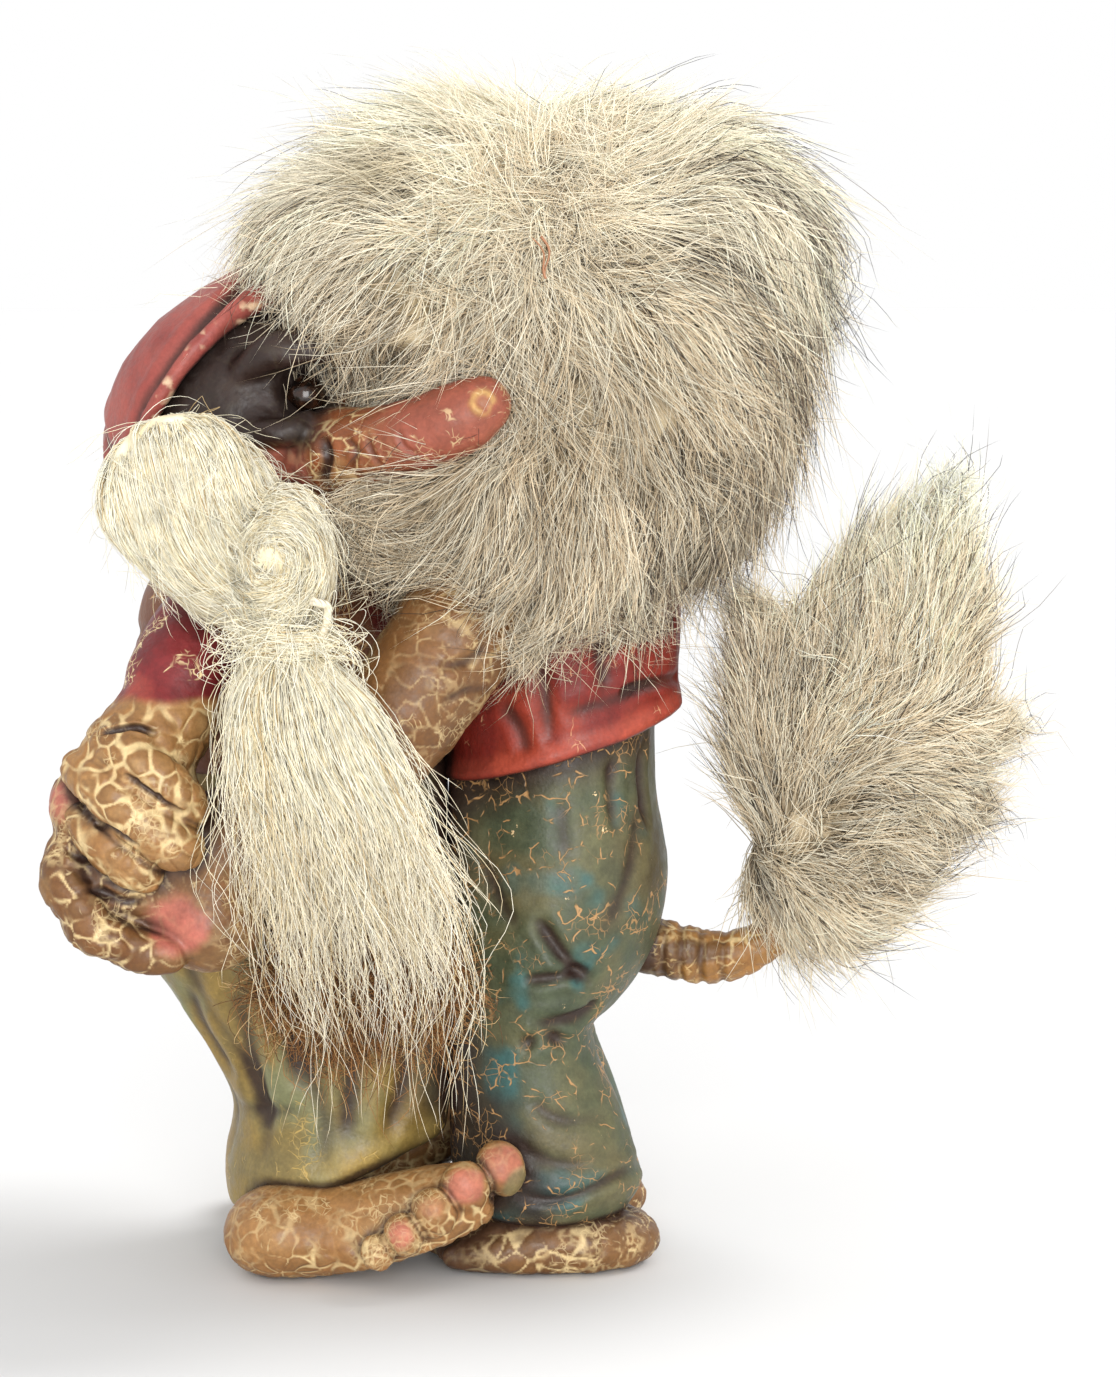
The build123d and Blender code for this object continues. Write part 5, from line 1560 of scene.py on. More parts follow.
def hair_core(p):
    d = hair_mass(p) + 6.2
    d = smax(d, -(egg(T_HEAD, tuple(r + 1.0 for r in T_HEAD_R))(p) + 3.0), 1.5)
    d = smax(d, hem_height(p, FACE_P, FACE_N) + 1.0, 4.0)
    d = smax(d, 1.2 - s_scarf_out(p), 2.0)
    d = smax(d, -hollow(p), 3.0)
    for q_, r_, t_ in HAIR_PITS:
        d = smax(d, -egg(tuple(q_), r_, t_)(p), 4.0)
    d = smax(d, 1.0 - _shirt(p), 2.0)
    d = smax(d, 1.5 - t_arm(p), 2.0)
    return smax(d, 2.2 - s_face(p), 2.0)


s_scarf_out = egg(SCARF, SCARF_R)
hollow = egg(tuple(at(242, 372, -36)), (16.0, 26.0, 24.0))
_, hp, hn, hq = sculpt("tailed_troll_hair_undercoat", hair_core, (-60, -56, 118), (76, 56, 236), 2.4, 1,
                       undercoat(srgb(176, 158, 126), srgb(224, 206, 170), top=lambda p: smooth(190, 216, p[:, 2])), ["tailed_troll_hair"], M_FUR, marks=DIPS)
log("hair undercoat")

HAIR_FLOW = comb([((300, 150), (-1, 0.1)), ((262, 205), (-0.9, 0.6)), ((360, 110), (-1, -0.25)), ((430, 100), (-0.8, -0.45)), ((520, 110), (-0.3, -0.8)), ((620, 110), (0.4, -0.7)),
                  ((720, 115), (0.9, -0.3)), ((790, 160), (0.95, 0.2)), ((840, 240), (0.85, 0.6)), ((850, 330), (0.75, 0.75)), ((845, 420), (0.5, 0.9)), ((800, 470), (0.5, 0.9)),
                  ((560, 160), (0.1, -0.8)), ((640, 165), (0.7, -0.4)), ((700, 190), (0.9, 0.2)), ((450, 155), (-0.85, -0.2)), ((380, 200), (-0.9, 0.35)), ((330, 230), (-0.8, 0.6)),
                  ((300, 300), (-0.6, 0.8)), ((340, 330), (-0.55, 0.8)), ((400, 280), (-0.75, 0.65)), ((400, 350), (-0.75, 0.65)), ((460, 230), (-0.6, 0.75)), ((470, 330), (-0.65, 0.6)),
                  ((520, 250), (-0.3, 0.9)), ((540, 330), (-0.15, 0.95)), ((600, 230), (0.25, 0.9)), ((600, 320), (0.1, 1)), ((680, 260), (0.6, 0.7)), ((700, 340), (0.6, 0.65)),
                  ((770, 280), (0.85, 0.4)), ((780, 360), (0.85, 0.35)), ((740, 420), (0.75, 0.5)), ((640, 400), (0.2, 0.95)), ((560, 420), (-0.1, 1)), ((500, 470), (-0.35, 0.9)),
                  ((450, 500), (-0.65, 0.75)), ((400, 540), (-0.8, 0.55)), ((470, 570), (-0.45, 0.9)), ((540, 560), (-0.1, 1)), ((610, 540), (0.05, 1)), ((610, 620), (0.05, 1)),
                  ((680, 520), (0.2, 1)), ((740, 520), (0.55, 0.85)), ((770, 570), (0.35, 0.95))],
                 lambda p: unit(p - np.array((10, -42, 202), F)) + np.array((0, 0.1, -0.35), F))
_flow = HAIR_FLOW


def HAIR_FLOW(p):
    """The combed direction, turned a little this way and that, as fur lies in locks."""
    w_ = np.column_stack([noise(p, 17, 501), noise(p, 17, 502), noise(p, 17, 503)]) * 1.05 + np.column_stack([noise(p, 6, 504), noise(p, 6, 505), noise(p, 6, 506)]) * 0.45
    return _flow(p) + w_.astype(F)


K = int(1330 * FEWER)
WHORL = hit(hair_mass, [(548, 190)])[0]
gr, gn = pick(hp, hn, hq, K, where=lambda p: np.where(p[:, 1] < 12, 1.0, 0.34) * (0.40 + 0.60 * np.exp(-(np.abs(p[:, 0] - WHORL[0]) / 9) ** 2) * (p[:, 2] > 168) * (p[:, 1] < 5)))
hl = rng.uniform(20, 34, len(gr)).astype(F)
hl *= 1 + 0.55 * (1 - smooth(136, 158, gr[:, 2])) * (1 - smooth(0, 20, gr[:, 1])) * (1 - smooth(30, 50, gr[:, 0]))
hl *= 1 - 0.35 * smooth(0, 1, (1 - smooth(-30, -10, gr[:, 0])) * (1 - smooth(185, 205, gr[:, 2])))
part_line = hit(hair_mass, [(548, 100), (548, 150), (552, 200), (556, 250), (558, 300), (556, 350)])
near_part = np.exp(-(np.sqrt(((gr[:, None, :] - part_line[None]) ** 2).sum(2).min(1)) / 11.0) ** 2).astype(F)
G = guides(hair_core, gr, gn, HAIR_FLOW, hl, 6.4, 7, wander=(0.46 + 1.5 * near_part).astype(F), sag=0.12)
P, who, lg = brood(G, gn, 32, 2.0, 5, pinch=0.74, stray=2.9, curl=0.8, high=3.8, tight=0.3)
top = smooth(188, 216, P[:, 0, 2])
# painted shade: the fur greyer below the top, low down on the sides and in the pits
side_ = np.clip(np.abs(P[:, 0, 0] - 27) / 30, 0, 1)
low = (1 - smooth(146, 190, P[:, 0, 2])) * (0.14 + np.where(P[:, 0, 0] > 27, 1.1, 0.5) * side_)
for q_, r_ in ((DIP_AT[0], 9.0), (DIP_AT[1], 8.0), (DIP_AT[2], 8.0), (DIP_AT[4], 9.0)):
    low = np.maximum(low, 0.85 * np.exp(-(length(P[:, 0] - q_) / r_) ** 2))
mid_ = (1 - smooth(196, 212, P[:, 0, 2])) * 0.26
C, guard = fur_colours(P, 5, top=top, grey=np.maximum(low, mid_), dark_share=0.025 + 0.10 * smooth(40, 66, P[:, 0, 0]) + 0.05 * (1 - smooth(134, 156, P[:, 0, 2])))
R = np.tile((np.array([0.118, 0.118, 0.106, 0.086, 0.056])), (len(P), 1)).astype(F)
R[guard] *= 0.85
R[P[:, 0, 1] > 12] *= 1.5
C = C * (1 + np.clip(rng.normal(size=len(gr)) * 0.10, -0.26, 0.14))[who][:, None, None].astype(F)
# painted shade in the pits and hollows of the fur, laid on by where each point falls in the picture
u_, v_ = picture(P.reshape(-1, 3))
near_ = (P.reshape(-1, 3)[:, 1] < 2).astype(F)
for cu, cv, ru, rv, how in ((376, 172, 50, 28, 0.62), (606, 262, 58, 32, 0.30), (660, 475, 60, 30, 0.30), (742, 478, 40, 46, 0.34), (430, 505, 60, 40, 0.28), (322, 262, 30, 26, 0.22), (560, 540, 26, 50, 0.25), (500, 610, 60, 34, 0.25)):
    k_ = how * near_ * np.exp(-(((u_ - cu) / ru) ** 2 + ((v_ - cv) / rv) ** 2) ** 1.3)
    C = mix(C.reshape(-1, 3), C.reshape(-1, 3) * np.array((0.52, 0.47, 0.36), F) if cu == 376 else C.reshape(-1, 3) * np.array((0.40, 0.37, 0.33), F), k_.astype(F)).reshape(C.shape)
within(P)
strand_mesh("tailed_troll_hair_fur", P, R, C, "figure", M_FUR)
# a tangle of short hair at the whorl
gr, gn = pick(hp, hn, hq, int(130 * FEWER), where=lambda p: (np.exp(-(length((p - np.array(WHORL, F)) * np.array((1.0, 0.8, 0.72), F)) / 13.0) ** 2) * (p[:, 1] < 5)).astype(F))
G = guides(hair_core, gr, gn, HAIR_FLOW, rng.uniform(10, 19, len(gr)).astype(F), 6.8, 7, wander=2.6, sag=0.1)
P, who, lg = brood(G, gn, 24, 1.7, 5, pinch=0.7, stray=2.6, curl=1.2, high=3.4, tight=0.3)
C, guard = fur_colours(P, 5, top=np.full(len(P), 0.45, F), grey=np.full(len(P), 0.12, F), dark_share=0.02)
within(P)
strand_mesh("tailed_troll_hair_whorl", P, np.tile((np.array([0.115, 0.115, 0.104, 0.086, 0.056])), (len(P), 1)).astype(F), C, "figure", M_FUR)
# a few long dark guard hairs that stand out of the outline
K2 = int(950 * FEWER)
gr, gn = pick(hp, hn, hq, K2, where=lambda p: np.clip(smooth(20, 45, p[:, 0]) + 0.16, 0, 1))
G = guides(hair_core, gr, gn, HAIR_FLOW, rng.uniform(26, 38, len(gr)).astype(F), 11.5, 7, wander=0.35, sag=0.0)
P, who, lg = brood(G, gn, 2, 1.5, 8, pinch=0.2, stray=2.0, curl=0.5, high=3.0)
C = np.repeat(np.where((rng.random(len(P)) < 0.6)[:, None], GREY["black"], GREY["dark"])[:, None], 9, 1).astype(F)
within(P)
strand_mesh("tailed_troll_hair_guard", P, np.tile(np.linspace(0.085, 0.05, 8), (len(P), 1)).astype(F), C, "figure", M_FUR)
u_, v_ = np.linspace(541, 551, 13), np.linspace(236, 278, 13)
twig = hit(hair_mass, list(zip(u_ + 5 * np.sin(np.linspace(0, 5, 13)), v_))) + np.array((0, -4.0, 0), F)
twig2 = twig[::-1] * 1.0
twig2[:, 0] -= np.linspace(0, 1.7, 13) ** 1.2
P = np.stack([twig, twig2]).astype(F)
strand_mesh("tailed_troll_hair_twig", P, np.tile(np.linspace(0.34, 0.16, 12), (2, 1)).astype(F), np.repeat(np.repeat(srgb(178, 128, 96)[None, None], 2, 0), 13, 1).astype(F), "figure", M_FUR)
log("hair")

# -- the tail's tuft
tuft_whole = join(8.0, egg((72, 2, 98), (31.5, 21, 41), (0, 8, 0)), egg((83, 2, 123), (18.0, 15, 27), (0, 14, 0)), egg((93.0, 2, 139), (8.0, 9.5, 18.5), (0, 16, 0)), egg((66, 2, 74), (15, 12, 14)), egg((51, 2, 109), (17, 15, 24), (0, -14, 0)), egg((48, 2, 90), (13, 13, 16)))
TUFT_Z = [60, 66, 74, 82, 90, 98, 106, 114, 122, 130, 138, 146, 155, 162]
TUFT_S = [0.66, 0.68, 0.74, 0.76, 0.88, 0.87, 0.98, 0.95, 0.88, 0.93, 0.82, 0.79, 0.80, 0.80]


def tuft_mass(p):
    """The whole tuft, drawn in on its outer side."""
    q = p.astype(F).copy()
    side = np.interp(q[:, 2], TUFT_Z, TUFT_S).astype(F)
    over = np.maximum(q[:, 0] - 62, 0)
    q[:, 0] = np.minimum(q[:, 0], 62) + over / side
    return tuft_whole(q) * np.where(over > 0, 0.5 + 0.5 * side, 1.0).astype(F)


tuft_dips = Marks()
for (u, v), w_, d_ in (((905, 812), 7.5, 12.0), ((868, 866), 7.0, 9.0), ((835, 872), 6.0, 5.0), ((860, 705), 6.0, 2.5), ((870, 760), 9.0, -3.0), ((930, 790), 6.0, -2.5), ((800, 930), 8.0, -1.5)):
    tuft_dips.add(hit(tuft_mass, [(u, v)]), w_, d_)
TUFT_AT = [hit(tuft_mass, [q_])[0] for q_ in ((905, 815), (866, 866), (828, 880), (862, 700), (748, 690))]


TUFT_PITS = [(TUFT_AT[0], (10.5, 13, 5.0), (0, -22, 0)), (TUFT_AT[1], (8.5, 12, 4.6), (0, -35, 0)), (TUFT_AT[2], (8, 9, 4.0), (0, 10, 0)), (TUFT_AT[3], (3.4, 9, 13), (0, 8, 0)), (TUFT_AT[4], (5, 8, 9), (0, -10, 0))]


def tuft_core(p):
    d = smax(tuft_mass(p) + 6.5, 1.0 - tail(p), 1.5)
    for q_, r_, t_ in TUFT_PITS:
        d = smax(d, -egg(tuple(q_), r_, t_)(p), 3.0)
    return np.where(p[:, 0] < 62, smax(d, 51.5 - p[:, 0], 3.0), d)


_, tp, tn, tq = sculpt("tail_tuft_undercoat", tuft_core, (36, -24, 54), (112, 28, 160), 1.8, 1, undercoat(srgb(172, 154, 124), srgb(224, 206, 172), top=lambda p: smooth(112, 145, p[:, 2]) * 0.8),
                       ["tail_tuft"], M_FUR, body="tail", marks=tuft_dips)
TUFT_FLOW = comb([((700, 720), (-0.6, -0.7)), ((705, 650), (-0.6, -0.7)), ((740, 600), (-0.45, -0.85)), ((790, 555), (-0.35, -0.9)), ((850, 530), (-0.1, -1)), ((910, 500), (0.15, -1)),
                  ((970, 480), (0.55, -0.85)), ((1000, 470), (0.5, -0.85)), ((1010, 560), (0.25, -1)), ((1020, 660), (0.3, -0.95)), ((860, 620), (0, -1)), ((930, 620), (0.05, -1)), ((790, 680), (-0.2, -1)),
                  ((870, 680), (0.0, -1)), ((940, 690), (0.05, -1)), ((720, 800), (-0.6, -0.6)), ((760, 760), (-0.35, -0.9)), ((745, 880), (-0.5, -0.6)), ((820, 790), (0.25, -0.95)),
                  ((850, 745), (0.6, -0.75)), ((890, 735), (0.95, -0.2)), ((930, 755), (0.9, 0.45)), ((985, 795), (0.9, 0.4)), ((1020, 810), (1, 0.2)), ((845, 830), (0.45, -0.85)),
                  ((870, 800), (0.8, -0.55)), ((910, 780), (1, -0.05)), ((960, 800), (0.95, 0.35)), ((860, 880), (0.9, -0.3)), ((930, 860), (0.95, 0.1)), ((800, 900), (0.8, 0.15)),
                  ((850, 930), (0.85, 0.4)), ((920, 910), (0.9, 0.3)), ((980, 860), (0.95, 0.1)), ((800, 960), (0.2, 0.9)), ((840, 970), (0.4, 0.9)), ((780, 930), (0.3, 0.8))],
                 lambda p: unit(p - np.array((62, 2, 72), F)) + np.array((0, 0, 0.75), F), sigma=10.0)
_tuft_flow = TUFT_FLOW


def TUFT_FLOW(p):
    w_ = np.column_stack([noise(p, 13, 511), noise(p, 13, 512), noise(p, 13, 513)]) * 0.85 + np.column_stack([noise(p, 5, 514), noise(p, 5, 515), noise(p, 5, 516)]) * 0.4
    return _tuft_flow(p) + w_.astype(F)


K = int(660 * FEWER)
gr, gn = pick(tp, tn, tq, K, where=lambda p: np.where(p[:, 1] < 8, 1.0, 0.5))
G = guides(tuft_core, gr, gn, TUFT_FLOW, (rng.uniform(14, 25, len(gr)) * (1 - 0.35 * np.exp(-(np.sqrt(((gr[:, None] - np.array(TUFT_AT)[None, :3]) ** 2).sum(2).min(1)) / 12) ** 2))).astype(F), 6.2, 7, wander=0.34, keep_off=-5)
P, who, lg = brood(G, gn, 28, 1.8, 5, pinch=0.72, stray=2.6, curl=0.8, high=3.0, tight=0.3)
# painted shade: the tuft greyer low down and in its pits
low = 0.22 * (1 - smooth(84, 120, P[:, 0, 2])) + 0.0 * P[:, 0, 0]
for q_, r_ in ((TUFT_AT[0], 7.5), (TUFT_AT[1], 7.0), (TUFT_AT[2], 6.0), (TUFT_AT[3], 6.0), (TUFT_AT[4], 7.0)):
    low = np.maximum(low, 0.95 * np.exp(-(length(P[:, 0] - q_) / r_) ** 2))
C, guard = fur_colours(P, 5, top=np.maximum(smooth(105, 145, P[:, 0, 2]), 0.25) * 0.9, grey=low, dark_share=0.04)
R = np.tile((np.array([0.126, 0.126, 0.112, 0.09, 0.056])), (len(P), 1)).astype(F)
C = C * ((1 + np.clip(rng.normal(size=len(gr)) * 0.09, -0.24, 0.14))[who] * (1 + 0.16 * smooth(112, 140, P[:, 0, 2])))[:, None, None].astype(F)
within(P)
strand_mesh("tail_tuft_fur", P, R, C, "tail", M_FUR)
gr, gn = pick(tp, tn, tq, int(300 * FEWER))
G = guides(tuft_core, gr, gn, TUFT_FLOW, rng.uniform(20, 32, len(gr)).astype(F), 11.5, 7, wander=0.4, keep_off=-5)
P, who, lg = brood(G, gn, 2, 1.5, 8, pinch=0.2, stray=2.0, curl=0.5, high=3.0)
C = np.repeat(np.where((rng.random(len(P)) < 0.6)[:, None], GREY["black"], GREY["dark"])[:, None], 9, 1).astype(F)
within(P)
strand_mesh("tail_tuft_guard", P, np.tile(np.linspace(0.085, 0.05, 8), (len(P), 1)).astype(F), C, "tail", M_FUR)
log("tuft")

# -- plaits
TIE_Z = 129.5
IVORY = {"a": srgb(255, 250, 230), "b": srgb(252, 242, 212), "c": srgb(236, 220, 180), "d": srgb(200, 172, 124)}


def cream_colours(P, rings, root_shade=0.25, brown=0.0):
    N = len(P)
    r = rng.random(N)
    base = np.where((r < 0.5)[:, None], IVORY["a"], np.where((r < 0.85)[:, None], IVORY["b"], np.where((r < 0.97)[:, None], IVORY["c"], IVORY["d"])))
    patch = 0.5 + 0.5 * np.clip(fbm(P[:, P.shape[1] // 2], 7, 2, 810) * 1.6, -1, 1)
    base = base * (0.92 + 0.09 * patch + 0.03 * rng.normal(size=N))[:, None]
    C = np.empty((N, rings + 1, 3), F)
    for s in range(rings + 1):
        t = s / rings
        # painted shade at the roots
        c = base * (1 - root_shade * (1 - t) ** 3)
        if brown:
            c = mix(c, np.repeat(srgb(170, 120, 72)[None], N, 0), np.clip((t - 0.55) * 2, 0, 1) * brown * rng.random(N))
        C[:, s] = c
    return C


def plait_bunch(tag, mass, tie, top_at, bun, side, cad, count):
    lo = np.array(top_at) - 34
    hi = np.array(top_at) + 34
    core = lambda p: mass(p) + 1.2
    lo[2], hi[2] = 124, 184
    _, bp, bn, bq = sculpt(f"{tag}_bunch_undercoat", core, lo, hi, 1.1, 1, undercoat(srgb(242, 228, 190), srgb(252, 244, 216), deep=0.35, seed=930), [cad], M_CREAM)
    target = np.array((tie[0], tie[1], TIE_Z + 4), F)
    bun = np.array(bun, F)

    def flow(p):
        v = unit(target - p) * 1.0
        far = smooth(10, 32, np.linalg.norm(p - target, axis=1))[:, None]
        v = v * (1 - 0.45 * far) + np.array((0.05, 0, -1.0), F) * 0.75 * far
        q = p - bun
        around = unit(np.column_stack([-q[:, 2], np.zeros(len(p)), q[:, 0]]) * -1.0)
        k = (1 - smooth(6.5, 11.5, np.sqrt(q[:, 0] ** 2 + (q[:, 2] * 0.72) ** 2)))[:, None]
        k = k * smooth(1.5, 4.5, np.sqrt(q[:, 0] ** 2 + q[:, 2] ** 2))[:, None]
        return unit(v * (1 - 0.55 * k) + around * k * 0.9)
    gr, gn = pick(bp, bn, bq, int(count * FEWER))
    G = guides(core, gr, gn, flow, rng.uniform(16, 30, len(gr)).astype(F), 1.2, 7, wander=0.10, keep_off=0.2)
    P, who, lg = brood(G, gn, 14, 0.9, 5, pinch=0.5, stray=0.55, curl=0.2, high=1.2, tight=0.1)
    C = cream_colours(P, 5)
    strand_mesh(f"{tag}_bunch_hair", P, np.tile(np.array([0.13, 0.13, 0.12, 0.10, 0.065]), (len(P), 1)).astype(F), C, "figure", M_CREAM)
    # loose hairs that stand away
    gr, gn = pick(bp, bn, bq, int(220 * FEWER))
    G = guides(core, gr, gn, flow, rng.uniform(14, 26, len(gr)).astype(F), 4.5, 7, wander=0.6, keep_off=0.2)
    P, who, lg = brood(G, gn, 2, 1.0, 10, pinch=0.1, stray=2.2, curl=1.2, high=3.0)
    strand_mesh(f"{tag}_bunch_loose", P, np.tile(np.linspace(0.075, 0.045, 10), (len(P), 1)).astype(F), cream_colours(P, 10), "figure", M_CREAM)


NEAR_TIE, FAR_TIE = (-38.0, -50.5), (-57.0, 47.0)
near_mass = join(2.5, egg((-56.4, -45.5, 152), (17.2, 9.5, 21), (0, -18, 0)), egg((-38.6, -49.6, 144.5), (8.8, 7.8, 14.0)), limb([(-45, -48, 139), (-38, -50.5, 131)], [7.0, 5.6], 2))
far_mass = join(2.5, egg((-63, 39.5, 152), (16.5, 9.5, 20.5), (0, -12, 0)), egg((-57, 45.5, 144.5), (8.8, 7.8, 14.0)), limb([(-60, 43, 139), (-57, 47, 131)], [7.0, 5.6], 2))
near_mass = cut(near_mass, (-70.6, 0, 147.7), (-0.645, 0, -0.764), 5.0)
near_mass = cut(near_mass, (0, 0, TIE_Z + 1.7), (0, 0, -1), 1.5)
far_mass = cut(far_mass, (0, 0, TIE_Z + 1.7), (0, 0, -1), 1.5)
plait_bunch("near_plait", near_mass, NEAR_TIE, (-52, -47, 152), (-38.6, -49.6, 146), -1, "near_plait_bunch", 620)
plait_bunch("far_plait", far_mass, FAR_TIE, (-61, 41, 152), (-57, 45.5, 146), 1, "far_plait_bunch", 190)


def plait_end(tag, rows, side, cad, count, bottom, side_lean=0.0):
    """Hair that fans out and hangs below the tie, in wavy locks."""
    rows = [(z, x, y, rx * np.interp(z, [50, 80, 95, 110, 120, 129], [0.74, 0.70, 0.70, 0.80, 0.92, 1.0]), ry) for z, x, y, rx, ry in rows]
    t = spline(sorted(rows), 8)
    Z = t[:, 0]
    core = stack([(z, x, y, max(rx - 4.5, 3.0), max(ry - 2.6, 2.2)) for z, x, y, rx, ry in rows if z > bottom + 40], edge=3.0)
    lo = (min(r[1] - r[3] for r in rows) - 3, min(r[2] - r[4] for r in rows) - 3, bottom + 6)
    hi = (max(r[1] + r[3] for r in rows) + 3, max(r[2] + r[4] for r in rows) + 3, 132)
    sculpt(f"{tag}_end_undercoat", core, lo, hi, 1.1, 1, undercoat(srgb(206, 178, 130), srgb(242, 228, 190), deep=0.5, seed=950), [cad], M_CREAM)
    n = int(count * FEWER)
    locks = 90
    la, lb = rng.uniform(-1, 1, locks), rng.uniform(-1, 1, locks)
    lb = np.sign(lb) * np.abs(lb) ** 0.6
    lph, lam = rng.random(locks) * 6.28, rng.uniform(0.9, 2.9, locks)
    lfr, ldr = rng.uniform(0.12, 0.24, locks), rng.normal(size=locks) * 3.2
    lend = rng.uniform(0, 1, locks)
    who = rng.integers(0, locks, n)
    a = la[who] + rng.normal(size=n) * 0.085
    b = lb[who] + rng.normal(size=n) * 0.16
    r_ = np.sqrt(a * a + b * b)
    a, b = a / np.maximum(r_, 1.0), b / np.maximum(r_, 1.0)
    rings = 16
    off_ = who * 1.7 + rng.random(n) * 3.4
    fam, ffr, wide_ = rng.uniform(0.3, 1.6, n), rng.uniform(0.13, 0.28, n), rng.uniform(0.86, 1.16, n)
    apart = rng.random(n) < 0.13
    wide_[apart], fam[apart] = rng.uniform(1.2, 1.6, n)[apart], fam[apart] * 1.7
    end = bottom - 10 + 62 * (0.55 * lend[who] + 0.45 * rng.random(n)) ** 0.62
    start = TIE_Z - 1.0 - 14 * (rng.random(n) < 0.35) * rng.random(n)
    P = np.empty((n, rings + 1, 3), F)
    for s in range(rings + 1):
        k = s / rings
        z = start + (end - start) * k
        cx, cy, rx, ry = (np.interp(z, Z, t[:, i]) for i in (1, 2, 3, 4))
        la_k = a + 0.05 * np.sin(lph[who] + z * 0.16) * k
        wave = lam[who] * k ** 0.7 * np.sin(lph[who] + z * lfr[who] + a * 2) + ldr[who] * k ** 1.5
        fine = fam * (k ** 0.5 + 0.8 * k ** 3) * np.sin(off_ + z * ffr)
        out_ = 1.0 + (wide_ - 1.0) * min(1.0, 1.6 * k)
        x = cx + rx * la_k * out_ + wave + fine + side_lean * k * k
        y = cy + ry * b * out_ + 0.5 * wave * b + 0.5 * fam * k ** 0.5 * np.cos(off_ + z * ffr * 0.8)
        P[:, s] = np.column_stack([x, y, z])
    j = rng.normal(size=(n, 1, 3)) * np.linspace(0, 1, rings + 1)[None, :, None] ** 2 * 1.6
    P = (P + j).astype(F)
    C = cream_colours(P, rings, 0.15, 0.35)
    strand_mesh(f"{tag}_end_hair", P, np.tile(np.linspace(0.105, 0.055, rings), (n, 1)).astype(F), C, "figure", M_CREAM)
    # fine stray hairs, looping out round the end
    m = int(150 * FEWER)
    rings = 16
    S = np.empty((m, rings + 1, 3), F)
    a, b = rng.uniform(-1.05, 1.05, m), side * 0 + rng.uniform(-1, 1, m)
    z0, z1 = rng.uniform(70, 120, m), bottom - rng.uniform(-6, 20, m) * (rng.random(m) < 0.5)
    p1, p2, am = rng.random(m) * 6.28, rng.random(m) * 6.28, rng.uniform(1.0, 4.2, m)
    for s in range(rings + 1):
        k = s / rings
        z = z0 + (z1 - z0) * k
        cx, cy, rx, ry = (np.interp(z, Z, t[:, i]) for i in (1, 2, 3, 4))
        S[:, s] = np.column_stack([cx + rx * a * (1 + 0.18 * k) + am * k * np.sin(p1 + k * 7), cy + (ry + 1.2) * np.where(b < 0, -1, 1) * np.abs(b) ** 0.3 * (1 if tag == "x" else 1) + 0.6 * np.sin(p2 + 5 * k),
                                   z + am * 0.7 * k * np.sin(p2 + k * 9)])
    strand_mesh(f"{tag}_end_stray", S, np.tile(np.linspace(0.075, 0.05, rings), (m, 1)).astype(F), cream_colours(S, rings, 0, 0.5), "figure", M_CREAM)


NEAR_ROWS = [(129.0, -38.0, -50.5, 5.4, 5.0), (125, -37.6, -51.5, 10.0, 6.4), (119, -36.0, -54.0, 15.5, 6.6), (108, -33.0, -58.0, 20.5, 5.6), (95, -29.0, -59.6, 24.5, 5.6),
             (80, -25.5, -58.6, 26.0, 6.0), (66, -23.5, -54.0, 25.5, 6.4), (53, -23.0, -48.5, 21.0, 5.0)]
FAR_ROWS = [(129.0, -57.0, 47.0, 5.4, 5.0), (125, -57.0, 48.5, 8.0, 6.2), (119, -56.5, 52.0, 10.5, 6.0), (107, -55.5, 55.5, 14.0, 5.6), (94, -54.0, 55.0, 17.5, 5.6),
            (80, -52.0, 49.5, 20.5, 6.0), (67, -49.0, 42.5, 20.0, 6.0), (56, -46.0, 36.5, 15.0, 5.0)]
plait_end("near_plait", NEAR_ROWS, -1, "near_plait_end", 2400, 52)
plait_end("far_plait", FAR_ROWS, 1, "far_plait_end", 780, 56)


def wound(tag, centre, count):
    """Hair wound over the tie, so that only the end of the string shows."""
    n, rings = int(count * max(FEWER, 0.6)), 14
    P = np.empty((n, rings + 1, 3), F)
    a0, turn = rng.random(n) * 6.28, rng.uniform(2.2, 4.6, n) * rng.choice((-1, 1), n)
    z0, z1 = rng.normal(130.2, 1.9, n), rng.normal(130.2, 1.9, n)
    r = rng.uniform(7.3, 8.3, n)
    for s in range(rings + 1):
        k = s / rings
        a = a0 + turn * k
        z = z0 + (z1 - z0) * k
        rr = r * (1 - 0.018 * (z - 130.2) ** 2 * 0.35) + 0.25 * np.sin(a * 3 + z0)
        P[:, s] = np.column_stack([centre[0] + rr * np.cos(a), centre[1] + rr * 0.96 * np.sin(a), z + 0.4 * np.sin(a * 2 + z1)])
    strand_mesh(f"{tag}_tie_hair", P, np.tile(np.linspace(0.13, 0.08, rings), (n, 1)).astype(F), cream_colours(P, rings, 0.1), "figure", M_CREAM)


